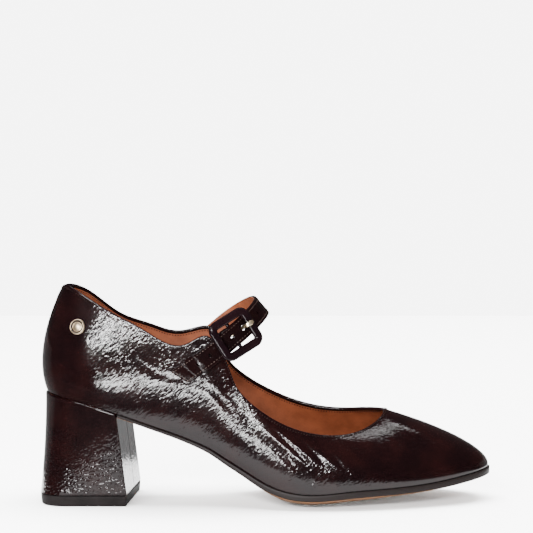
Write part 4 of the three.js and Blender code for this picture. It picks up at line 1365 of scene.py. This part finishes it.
@dataclass
class Stud:
    """The round turned stud at the back of the quarter, with plain rings."""

    last: Last
    diameter: float = 8.3
    thickness: float = 1.9
    x: float = 20.9
    drop: float = 21.2
    turns: int = 96
    profile: Tuple[Tuple[float, float], ...] = (
        (0.90, -0.1), (0.97, 0.1), (1.0, 0.36), (0.985, 0.6), (0.94, 0.78), (0.88, 0.86), (0.82, 0.8),
        (0.785, 0.62), (0.77, 0.42), (0.74, 0.4), (0.715, 0.58), (0.68, 0.66), (0.635, 0.6), (0.60, 0.5),
        (0.55, 0.52), (0.5, 0.6), (0.43, 0.68), (0.3, 0.8), (0.16, 0.87), (0.05, 0.9), (0.004, 0.905))

    def build(self, finishes: "Finishes") -> None:
        """Turns the stud's profile and hands it over."""
        last = self.last
        s, t = last.touch(self.x, last.heel_height + last.back_height - self.drop, Side.OUTER)
        centre = last.wall_point(s, t)
        out = last.wall_normal(np.array(s), np.array(t))
        centre = centre + last.gap * out
        aside = unit(np.cross(out, UP))
        beside = np.cross(out, aside)
        angle = np.linspace(0, 2 * math.pi, self.turns, endpoint=False)[:, None]
        ring = np.cos(angle) * aside + np.sin(angle) * beside
        profile = smooth_path(np.array([(r, h, 0.0) for r, h in self.profile]), 3)
        rows = [centre + r * self.diameter / 2 * ring + h * self.thickness * out for r, h, _ in profile]
        piece = Skin(np.array(rows), Ends.CAPPED).make("stud_button", last, 40.0)
        hand_over(piece, finishes.stud, "pale_gold", "heel_stud")


@dataclass
class Bottom:
    """Outsole, insole, heel block and top piece."""

    last: Last
    breast_top: float = 43.2
    breast_bottom: float = 48.2
    skew: float = 0.085
    proud: float = 1.0
    shank: float = 1.7
    insole: float = 2.4
    bottom_width: float = 50.0
    heel_back: float = -1.0
    heel_proud: float = 0.9
    heel_waist: float = 0.7
    top_piece: float = 5.5
    corner_share: float = 0.38
    bevel: float = 0.55
    sock_edge: float = 0.9
    sock_dip: float = 0.35
    low_turn: float = 0.3
    high_turn: Tuple[float, float] = (0.35, 0.25)
    crowns: Tuple[Tuple[float, float], ...] = (
        (0.18, 0.10), (0.33, 0.15), (0.45, 0.45), (0.55, 1.25),
        (0.69, 1.35), (0.80, 0.95), (0.92, 0.45), (1.0, 0.15))
    lift_levels: Tuple[Tuple[float, float], ...] = (
        (0.0, 0.95), (0.12, 0.65), (0.4, 0.5), (2.0, 0.36), (4.2, 0.15), (5.2, 0.1), (5.5, 0.35))

    def make_outsole(self) -> bpy.types.Object:
        """The outsole with a rounded edge and a crowned underside that the floor cuts flat."""
        last = self.last
        line = last.foot_line(self.proud)
        toe = line[:, 0].max()
        lean = (self.breast_bottom - self.breast_top) / last.heel_height
        rear = self.breast_top + 0.5 + 2 * self.shank * lean
        share = np.linspace(0, 1, 220)
        rows = []
        shares, crowns = zip(*self.crowns)
        for x in mix(rear, toe - 0.02, np.sin(share * math.pi / 2)):
            from_rear = (x - rear) / (toe - rear)
            near, far = edges_at(line, x, self.skew * max(0.0, 1 - 3 * from_rear))
            near[2] -= last.gap
            far[2] -= last.gap
            thick = mix(self.shank, last.sole_thickness, float(smooth(from_rear, 0.12, 0.45)))
            width = far[1] - near[1]
            crown = float(np.interp(x / last.length, shares, crowns)) * last.edge_lift
            crown *= min(1.0, width / (last.ball_width / 2))
            bevel = min(self.bevel, width / 8)
            places = [(0.0, bevel), (0.3 * bevel, 0.3 * bevel), (bevel, 0.0)]
            places += [(v * width, 0.0) for v in np.linspace(0.1, 0.9, 7)]
            places += [(width - a, d) for a, d in reversed(places[:3])]
            places += [(width, thick * k) for k in (0.45, 0.7)] + [(width, thick - bevel)]
            places += [(width - 0.3 * bevel, thick - 0.3 * bevel)]
            inner = np.linspace(width - bevel, bevel, 31)
            places += [(a, thick + crown * (1 - (2 * a / width - 1) ** 2)) for a in inner]
            places += [(0.3 * bevel, thick - 0.3 * bevel), (0.0, thick - bevel)]
            places += [(0.0, thick * k) for k in (0.7, 0.45)]
            rows.append([near + (far - near) * (a / width) - d * UP for a, d in places])
        rows = np.array(rows)
        rows[..., 2] = np.maximum(rows[..., 2], 0.0)
        return Skin(rows, Ends.CAPPED).make("outsole_leather", last, 40.0)

    def make_insole(self) -> bpy.types.Object:
        """The sock-covered insole inside the wall."""
        last = self.last
        line = last.foot_line(-(last.wall + 2 * last.gap))
        back, toe = line[:, 0].min(), line[:, 0].max()
        rows = []
        for x in mix(back + 0.15, toe - 0.15, (1 - np.cos(np.linspace(0, math.pi, 170))) / 2):
            near, far = edges_at(line, x, 0.0)
            width = far[1] - near[1]
            edge = min(self.sock_edge, width / 5)
            top = self.insole
            places = [(0.0, 0.0), (width / 2, 0.0), (width, 0.0)]
            places += [(width, top * 0.55), (width - 0.25 * edge, top * 0.85)]
            inner = np.linspace(width - edge, edge, 25)
            places += [(a, top - self.sock_dip * (1 - (2 * a / width - 1) ** 2)) for a in inner]
            places += [(0.25 * edge, top * 0.85), (0.0, top * 0.55)]
            rows.append([near + (far - near) * (a / width) + h * UP for a, h in places])
        return Skin(np.array(rows), Ends.CAPPED).make("insole_sock", last, 50.0)

    def heel_ring(self, level: float, z: Optional[float]) -> np.ndarray:
        """One level of the heel block.

        Args:
            level: 0 at the top piece and 1 at the seat.
            z: a height that the whole level lies at, or none for the block's own.

        Returns:
            The level's closed outline with softened breast corners.
        """
        line = self.last.foot_line(self.heel_proud)
        back = line[:, 0].min()
        pull = self.heel_waist * 4 * level * (1 - level)
        turn = np.linspace(0, 1, 40)
        shares = np.concatenate([self.corner_share * (1 - np.cos(math.pi / 2 * turn)),
                                 mix(self.corner_share, 1.0, np.linspace(0, 1, 40))[1:]])
        halves = []
        for side in (-1, 1):
            half_line = []
            for u in shares:
                round_in = 1 - (1 - min(u / self.corner_share, 1.0)) ** 3
                y = side * self.bottom_width / 2 * round_in ** (1 / 3)
                bottom = np.array([mix(self.heel_back, self.breast_bottom, u) + u * self.skew * y, y, 0.0])
                x = max(mix(back, self.breast_top, u), back + 0.004)
                near, far = edges_at(line, x, u * self.skew)
                top = near if side < 0 else far
                top[2] -= self.last.gap
                point = bottom + (top - bottom) * level
                point[1] -= side * pull
                point[0] += pull * (1 - u)
                point[2] = mix(self.top_piece + self.last.gap, top[2], level) if z is None else z
                half_line.append(point)
            halves.append(half_line)
        loop = np.array(halves[0] + halves[1][::-1])
        closed = np.concatenate([loop, loop[:1]])
        walked = walked_along(closed)
        even = np.linspace(0, walked[-1], 361)[:-1]
        ring = np.stack([np.interp(even, walked, closed[:, k]) for k in range(3)], axis=1)
        for _ in range(3):
            ring = (np.roll(ring, 1, axis=0) + 2 * ring + np.roll(ring, -1, axis=0)) / 4
        return np.roll(ring, -int(ring[:, 0].argmin()), axis=0)

    def inset(self, ring: np.ndarray, by: float) -> np.ndarray:
        """Draws a level in all round.

        Args:
            ring: the level's outline.
            by: how far it is drawn in.

        Returns:
            The smaller outline.
        """
        along = unit(np.roll(ring, -1, axis=0) - np.roll(ring, 1, axis=0))
        out = np.stack([along[:, 1], -along[:, 0], np.zeros(len(ring))], axis=1)
        return ring - by * out

    def make_heel(self) -> bpy.types.Object:
        """The covered heel block, with edges turned in at the top piece and the seat."""
        rings = [self.heel_ring(level, None) for level in np.linspace(0, 1, 34)]
        low, high = rings[0].copy(), rings[-1].copy()
        drop, draw_in = self.high_turn
        rings = [self.inset(low, self.low_turn), low + self.low_turn * UP] + rings[1:-1]
        rings += [high - drop * UP, self.inset(high, draw_in)]
        return Skin(np.array(rings), Ends.CAPPED).make("heel_cover", self.last, 55.0)

    def make_top_piece(self) -> bpy.types.Object:
        """The walking piece under the heel, a little drawn in at the floor."""
        ring = self.heel_ring(0.0, 0.0)
        rings = []
        for z, by in self.lift_levels:
            level = self.inset(ring, by)
            level[:, 2] = z
            rings.append(level)
        return Skin(np.array(rings), Ends.CAPPED).make("top_piece_rubber", self.last, 50.0)

    def build(self, finishes: "Finishes") -> None:
        """Builds, dresses and hands over the pieces under the foot."""
        hand_over(self.make_outsole(), finishes.sole, "sole", "outsole")
        hand_over(self.make_insole(), finishes.sock, "insole_leather", "insole")
        hand_over(self.make_heel(), finishes.heel, "patent_heel", "heel")
        hand_over(self.make_top_piece(), finishes.rubber, "top_piece", "top_piece")


@dataclass(frozen=True)
class PatentFinish:
    """Dark patent leather: a clear hard gloss over pebbled and creased leather."""

    name: str
    dark: Colour = (0.0016, 0.0006, 0.0007, 1.0)
    warm: Colour = (0.0030, 0.0009, 0.0009, 1.0)
    roughness: float = 0.09
    ior: float = 1.23
    grain_mm: float = 1.1
    grain_depth: float = 0.11
    wrinkle_depth: float = 0.085
    smooth_ends: bool = True
    grain_turn: Place = (0.0, -50.0, 0.0)
    grain_stretch: Place = (2.0, 1.0, 1.0)
    wrinkle_stretch: Place = (2.5, 1.0, 1.0)

    def worn_part(self, shade: Shade) -> Wire:
        """Where the leather is grained: not at the toe cap and the back of the heel."""
        x = shade.axis("X")
        drift = (shade.noise(26.0, 1.0) - 0.5) * 0.03
        front = 1.0 - (x + drift).rising(0.052, 0.09)
        back = (x + drift).rising(-0.106, -0.08)
        return front * back

    def material(self) -> bpy.types.Material:
        """Builds the material."""
        shade = Shade(self.name)
        tone = shade.noise(14.0, 3.0)
        pores = shade.cells(0.55)
        worn = self.worn_part(shade) if self.smooth_ends else 1.0
        colour = shade.blend(tone.rising(0.35, 0.7), self.dark, self.warm)
        warped = self.warped(shade, shade.place(self.grain_turn, self.grain_stretch), 4.5, 0.0013)
        pebble = shade.cells(self.grain_mm, "SMOOTH_F1", warped)
        folded = shade.place(self.grain_turn, self.wrinkle_stretch)
        wrinkle = abs(shade.noise(1.7, 1.0, folded, 0.8) - 0.5)
        strength = worn * (0.55 + 0.6 * shade.noise(9.0, 1.0).rising(0.35, 0.65)) + 0.03
        height = strength * (pebble * -1.0 * self.grain_depth + wrinkle * self.wrinkle_depth * 2.0)
        fine = shade.noise(0.5, 1.0) * 0.004 + pores * 0.003
        bump = shade.relief(height + fine, 1.0)
        rough = self.roughness + 0.05 * tone
        shade.set(Base_Color=colour, Roughness=rough, IOR=self.ior, Normal=bump)
        return shade.material

    def warped(self, shade: Shade, place: Wire, pitch: float, reach: float) -> Wire:
        """Pushes a place about by soft noise.

        Args:
            shade: the material being built.
            place: the place to push.
            pitch: the noise's pitch in millimetres.
            reach: how far it pushes at most, in metres.

        Returns:
            The pushed place.
        """
        values = {"Vector": place, "Scale": 1000.0 / pitch, "Detail": 1.0}
        push = shade.node("ShaderNodeTexNoise", {}, values)("Color")
        longer = {0: push, "Scale": 2 * reach}
        scaled = shade.node("ShaderNodeVectorMath", {"operation": "SCALE"}, longer)("Vector")
        return shade.node("ShaderNodeVectorMath", {"operation": "ADD"}, {0: place, 1: scaled})("Vector")


@dataclass(frozen=True)
class LeatherFinish:
    """Matt tanned leather with fine grain and soft cloudy tone."""

    name: str
    light: Colour
    dark: Colour
    roughness: float = 0.52
    grain_mm: float = 0.55
    grain_depth: float = 0.05
    ior: float = 1.25

    def material(self) -> bpy.types.Material:
        """Builds the material."""
        shade = Shade(self.name)
        cloud = shade.noise(9.0, 4.0)
        speck = shade.noise(0.8, 2.0)
        colour = shade.blend((cloud * 0.75 + speck * 0.25).rising(0.3, 0.7), self.dark, self.light)
        pebble = shade.cells(self.grain_mm) * -1.0 + shade.noise(2.4, 3.0) * 0.8
        shade.set(Base_Color=colour, Roughness=self.roughness + 0.12 * (speck - 0.5), IOR=self.ior,
                  Normal=shade.relief(pebble, self.grain_depth))
        return shade.material


@dataclass(frozen=True)
class SoleFinish:
    """The outsole: near-black painted edge over a tan underside with a scuffed tread."""

    name: str = "sole_leather"
    edge: Colour = (0.005, 0.0038, 0.0036, 1.0)
    under: Colour = (0.1, 0.046, 0.019, 1.0)
    worn: Colour = (0.06, 0.03, 0.015, 1.0)
    ior: float = 1.12

    def material(self) -> bpy.types.Material:
        """Builds the material."""
        shade = Shade(self.name)
        normal = shade.node("ShaderNodeNewGeometry")("Normal")
        down = shade.node("ShaderNodeSeparateXYZ", {}, {0: normal})("Z") * -1.0
        below = down.rising(0.55, 0.8)
        scratches = shade.noise(3.0, 3.0, shade.place((0, 0, 12), (5.5, 1.0, 1.0)))
        rub = shade.noise(12.0, 3.0)
        tan = shade.blend((scratches * 0.6 + rub * 0.4).rising(0.4, 0.62), self.under, self.worn)
        colour = shade.blend(below, self.edge, tan)
        rough = 0.42 + 0.2 * below
        height = shade.noise(0.5, 2.0) + scratches * 0.6 * below
        bump = shade.relief(height, 0.04)
        shade.set(Base_Color=colour, Roughness=rough, IOR=self.ior, Normal=bump)
        return shade.material


@dataclass(frozen=True)
class HeelFinish(PatentFinish):
    """The patent that covers the heel block, with the seam down the middle of its breast."""

    seam_width: float = 1.1

    def material(self) -> bpy.types.Material:
        """Builds the material."""
        shade = Shade(self.name)
        x, y, z = shade.axis("X"), shade.axis("Y"), shade.axis("Z")
        tone = shade.noise(14.0, 3.0)
        colour = shade.blend(tone.rising(0.35, 0.7), self.dark, self.warm)
        low = 1.0 - (z + (shade.noise(15.0, 1.0) - 0.5) * 0.016).rising(0.02, 0.05)
        warped = self.warped(shade, shade.place((0, 60, 0), (1.0, 1.0, 1.4)), 3.2, 0.001)
        pebble = shade.cells(self.grain_mm, "SMOOTH_F1", warped)
        wrinkle = abs(shade.noise(3.4, 2.0, shade.place((0, 70, 0), (1.0, 1.0, 2.5)), 0.5) - 0.5)
        height = (0.12 + 2.0 * low) * (pebble * -self.grain_depth + wrinkle * self.wrinkle_depth)
        on_breast = x.rising(-0.0785, -0.0765)
        seam = (1.0 - abs(y).rising(0.0, self.seam_width * MM)) * on_breast
        bump = shade.relief(height - 0.6 * seam, 1.0)
        shade.set(Base_Color=shade.blend(seam, colour, self.dark), Roughness=self.roughness + 0.05 * tone,
                  IOR=self.ior, Normal=bump)
        return shade.material


@dataclass(frozen=True)
class MetalFinish:
    """Pale gold metal with random darker wear, and optionally painted shade in a ring-shaped groove."""

    name: str
    bright: Colour = (0.82, 0.66, 0.45, 1.0)
    dull: Colour = (0.30, 0.22, 0.14, 1.0)
    roughness: float = 0.24
    # these groove fields paint near-black shade into the stud's ring-shaped groove
    paints_groove_shade: bool = False
    groove_radius: float = 3.13
    groove_shade_edge: Tuple[float, float] = (0.4, 0.6)
    groove_shade_colour: Colour = (0.012, 0.01, 0.01, 1.0)

    def material(self) -> bpy.types.Material:
        """Builds the material."""
        shade = Shade(self.name)
        wear = shade.noise(1.2, 3.0)
        colour = shade.blend(wear.rising(0.35, 0.75) * 0.35, self.bright, self.dull)
        scratch = shade.noise(0.35, 2.0, shade.place((0, 25, 0), (5.0, 1.0, 1.0)))
        # painted shade: the groove is darkened in the colour, not by the light
        if self.paints_groove_shade:
            colour = self.shadowed(shade, colour)
        shade.set(Base_Color=colour, Roughness=self.roughness + 0.1 * wear, Metallic=1.0,
                  Normal=shade.relief(scratch + wear, 0.015))
        return shade.material

    def shadowed(self, shade: Shade, colour: Wire) -> Wire:
        """Paints shade into the ring-shaped groove, found by its distance from the stud's middle.

        Args:
            shade: the material being built.
            colour: the metal's colour outside the groove.

        Returns:
            The colour with the groove in it.
        """
        low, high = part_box("heel_stud")
        ends = {0: shade.place(), 1: tuple((a + b) / 2 for a, b in zip(low, high))}
        away = shade.node("ShaderNodeVectorMath", {"operation": "DISTANCE"}, ends)("Value")
        start, stop = self.groove_shade_edge
        off = abs(away - self.groove_radius * MM)
        return shade.blend(1.0 - off.rising(start * MM, stop * MM), colour, self.groove_shade_colour)


@dataclass(frozen=True)
class ThreadFinish:
    """Twisted sewing thread."""

    name: str
    colour: Colour
    light: Colour

    def material(self) -> bpy.types.Material:
        """Builds the material."""
        shade = Shade(self.name)
        twist = shade.noise(0.25, 1.0)
        colour = shade.blend(shade.noise(2.0, 2.0).rising(0.35, 0.65), self.colour, self.light)
        shade.set(Base_Color=colour, Roughness=0.5 + 0.1 * twist, IOR=1.12,
                  Normal=shade.relief(twist, 0.03))
        return shade.material


@dataclass
class Finishes:
    """Every finish of the shoe, made once."""

    patent: bpy.types.Material
    heel: bpy.types.Material
    strap: bpy.types.Material
    buckle: bpy.types.Material
    lining: bpy.types.Material
    sock: bpy.types.Material
    sole: bpy.types.Material
    rubber: bpy.types.Material
    brass: bpy.types.Material
    stud: bpy.types.Material
    thread: bpy.types.Material
    strap_thread: bpy.types.Material

    @classmethod
    def make(cls) -> "Finishes":
        """Makes every material of the shoe."""
        tan, deep = (0.105, 0.029, 0.0115, 1.0), (0.07, 0.0185, 0.007, 1.0)
        return cls(
            patent=PatentFinish("patent_leather").material(),
            heel=HeelFinish("heel_patent").material(),
            strap=PatentFinish(
                "strap_patent", dark=(0.0014, 0.0006, 0.0007, 1.0), warm=(0.0025, 0.0009, 0.0009, 1.0),
                roughness=0.1, ior=1.08, grain_mm=0.9, grain_depth=0.05, wrinkle_depth=0.07,
                smooth_ends=False).material(),
            buckle=PatentFinish(
                "buckle_patent", dark=(0.0017, 0.0008, 0.0011, 1.0), warm=(0.003, 0.0012, 0.0016, 1.0),
                roughness=0.1, ior=1.13, grain_depth=0.012, wrinkle_depth=0.015,
                smooth_ends=False).material(),
            lining=LeatherFinish("tan_lining", tan, deep).material(),
            sock=LeatherFinish("tan_sock", (0.11, 0.032, 0.0135, 1.0), deep, roughness=0.58).material(),
            sole=SoleFinish().material(),
            rubber=LeatherFinish(
                "top_piece_rubber", light=(0.006, 0.005, 0.005, 1.0), dark=(0.004, 0.0035, 0.0035, 1.0),
                roughness=0.6, grain_mm=0.4, grain_depth=0.04, ior=1.07).material(),
            brass=MetalFinish("pale_gold_metal").material(),
            # the stud's metal, with painted shade in its groove
            stud=MetalFinish(
                "aged_gold_metal", bright=(0.34, 0.26, 0.18, 1.0), dull=(0.12, 0.09, 0.06, 1.0),
                roughness=0.34, paints_groove_shade=True).material(),
            thread=ThreadFinish(
                "topline_thread", (0.0025, 0.0013, 0.0012, 1.0), (0.006, 0.003, 0.0026, 1.0)).material(),
            strap_thread=ThreadFinish(
                "strap_thread", (0.018, 0.012, 0.01, 1.0), (0.04, 0.028, 0.024, 1.0)).material(),
        )


@dataclass(frozen=True)
class Softbox:
    """A soft rectangular light, placed by its middle and turned to a target."""

    name: str
    place: Place
    target: Place
    size: Tuple[float, float]
    power: float
    mirrored: bool = True

    def build(self) -> None:
        """Adds the light."""
        light = bpy.data.lights.new(self.name, "AREA")
        light.shape = "RECTANGLE"
        light.size, light.size_y = self.size
        light.energy = self.power
        lamp = bpy.data.objects.new(self.name, light)
        lamp.visible_glossy = self.mirrored
        aim = (Vector(self.target) - Vector(self.place)).to_track_quat("-Z", "Y").to_matrix().to_4x4()
        lamp.matrix_world = Matrix.Translation(self.place) @ aim
        bpy.context.scene.collection.objects.link(lamp)


@dataclass(frozen=True)
class Card:
    """A card laid round the shoe between two bearings in degrees, which only the leather's gloss sees, as a
    painted dark reflection or, where it glows, a painted grey sheen.
    """

    name: str
    start: float
    end: float
    tall: float
    glow: float


@dataclass
class Studio:
    """The camera, the pale floor and backdrop, the cards that paint dark reflections and grey sheen on the
    gloss, and the lights.
    """

    lens: float = 126.83
    sensor: float = 36.0
    eye: Place = (0.00027, -1.00129, 0.18775)
    aim: Place = (0.00027, -0.00129, 0.12475)
    world: float = 0.1
    half_floor: float = 3.0
    floor_front: float = -1.6
    floor_back: float = 1.1
    backdrop_height: float = 2.6
    floor_glow: float = 0.05
    floor_tone: float = 0.8
    backdrop_glow: float = 6.6
    # cards seen only in reflections: one paints a dark reflection, the other a faint grey painted sheen
    cards: Tuple[Card, ...] = (
        Card("dark_reflection_card", 172.0, 368.0, 0.08, 0.0), Card("grey_sheen_card", 8.0, 172.0, 0.1, 0.4))
    card_steps: int = 64
    card_inner: Tuple[float, float] = (0.175, 0.115)
    card_outer: Tuple[float, float] = (0.42, 0.36)
    card_low: float = 0.004
    softboxes: Tuple[Softbox, ...] = (
        Softbox("front_light", (-0.28, -1.45, 0.6), (0.0, 0.0, 0.06), (0.95, 0.045), 80.0),
        Softbox("low_light", (-0.095, -0.31, 0.044), (-0.05, 0.0, 0.06), (0.12, 0.024), 1.7),
        Softbox("side_light", (-0.65, -0.77, 0.75), (0.0, 0.0, 0.1), (0.36, 0.12), 18.0),
        Softbox("rear_light", (0.0, 0.25, 2.1), (0.0, 0.2, 0.0), (2.6, 1.4), 430.0, False),
        Softbox("top_light", (0.0, 0.6, 2.0), (0.0, 0.0, 0.0), (1.6, 0.22), 24.0),
    )

    def camera(self) -> None:
        """Adds the camera at the photograph's angle."""
        data = bpy.data.cameras.new("camera")
        data.lens = self.lens
        data.sensor_width = self.sensor
        camera = bpy.data.objects.new("camera", data)
        aim = (Vector(self.aim) - Vector(self.eye)).to_track_quat("-Z", "Y").to_matrix().to_4x4()
        camera.matrix_world = Matrix.Translation(self.eye) @ aim
        bpy.context.scene.collection.objects.link(camera)
        bpy.context.scene.camera = camera

    def sheet(self, name: str, corners: Sequence[Place], glow: float, tone: float) -> None:
        """Adds one plain sheet of the studio.

        Args:
            name: the sheet's name.
            corners: its four corners in metres.
            glow: how brightly it glows.
            tone: its grey, or 0 for a sheet that only glows and isn't mirrored by the leather.
        """
        mesh = bpy.data.meshes.new(name)
        mesh.from_pydata(corners, [], [(0, 1, 2, 3)])
        piece = bpy.data.objects.new(name, mesh)
        bpy.context.scene.collection.objects.link(piece)
        shade = Shade(name)
        shade.set(Base_Color=grey(tone), Roughness=0.9, Emission_Color=grey(1.0), Emission_Strength=glow)
        piece.data.materials.append(shade.material)
        piece.visible_glossy = tone > 0

    def lay_card(self, card: Card) -> None:
        """Adds one card, which lies near the floor, turns up at its outer edge and shows only in the gloss as
        a painted reflection.

        Args:
            card: the card's bearings, height and glow.
        """
        count = self.card_steps
        turn = np.radians(np.linspace(card.start, card.end, count))
        low = self.card_low
        levels = ((self.card_inner, low), (self.card_outer, low), (self.card_outer, low + card.tall))
        rows = [np.stack([a * np.cos(turn), b * np.sin(turn), np.full(count, z)], axis=1)
                for (a, b), z in levels]
        faces = [(r * count + k, r * count + k + 1, (r + 1) * count + k + 1, (r + 1) * count + k)
                 for r in range(2) for k in range(count - 1)]
        mesh = bpy.data.meshes.new(card.name)
        mesh.from_pydata(np.concatenate(rows).tolist(), [], faces)
        piece = bpy.data.objects.new(card.name, mesh)
        bpy.context.scene.collection.objects.link(piece)
        shade = Shade(card.name)
        shade.set(Base_Color=grey(0.01), Roughness=1.0, Emission_Color=grey(1.0),
                  Emission_Strength=card.glow)
        piece.data.materials.append(shade.material)
        # hidden from camera, shadows and diffuse light, so the card only paints reflections on the gloss
        piece.visible_camera = piece.visible_shadow = piece.visible_diffuse = False

    def build(self) -> None:
        """Sets the whole studio up."""
        self.camera()
        for card in self.cards:
            self.lay_card(card)
        wide, near, far, tall = self.half_floor, self.floor_front, self.floor_back, self.backdrop_height
        floor = ((-wide, near, 0), (wide, near, 0), (wide, far, 0), (-wide, far, 0))
        self.sheet("floor", floor, self.floor_glow, self.floor_tone)
        backdrop = ((-wide, far, 0), (wide, far, 0), (wide, far, tall), (-wide, far, tall))
        self.sheet("backdrop", backdrop, self.backdrop_glow, 0.0)
        world = bpy.data.worlds.new("studio")
        world.use_nodes = True
        world.node_tree.nodes["Background"].inputs["Color"].default_value = grey(self.world)
        bpy.context.scene.world = world
        for softbox in self.softboxes:
            softbox.build()


def main() -> None:
    """Builds the studio and the shoe, piece by piece."""
    logging.basicConfig(level=logging.INFO, format="%(name)s: %(message)s")
    Studio().build()
    finishes = Finishes.make()
    last = Last()
    LOG.info("shift into the frame: %s", last.shift)
    Upper(last).build(finishes)
    Bottom(last).build(finishes)
    strap_frame = StrapFrame(last)
    strap = Strap(strap_frame)
    strap.build(finishes)
    Buckle(strap_frame, strap).build(finishes)
    Stud(last).build(finishes)


if __name__ == "__main__":
    main()
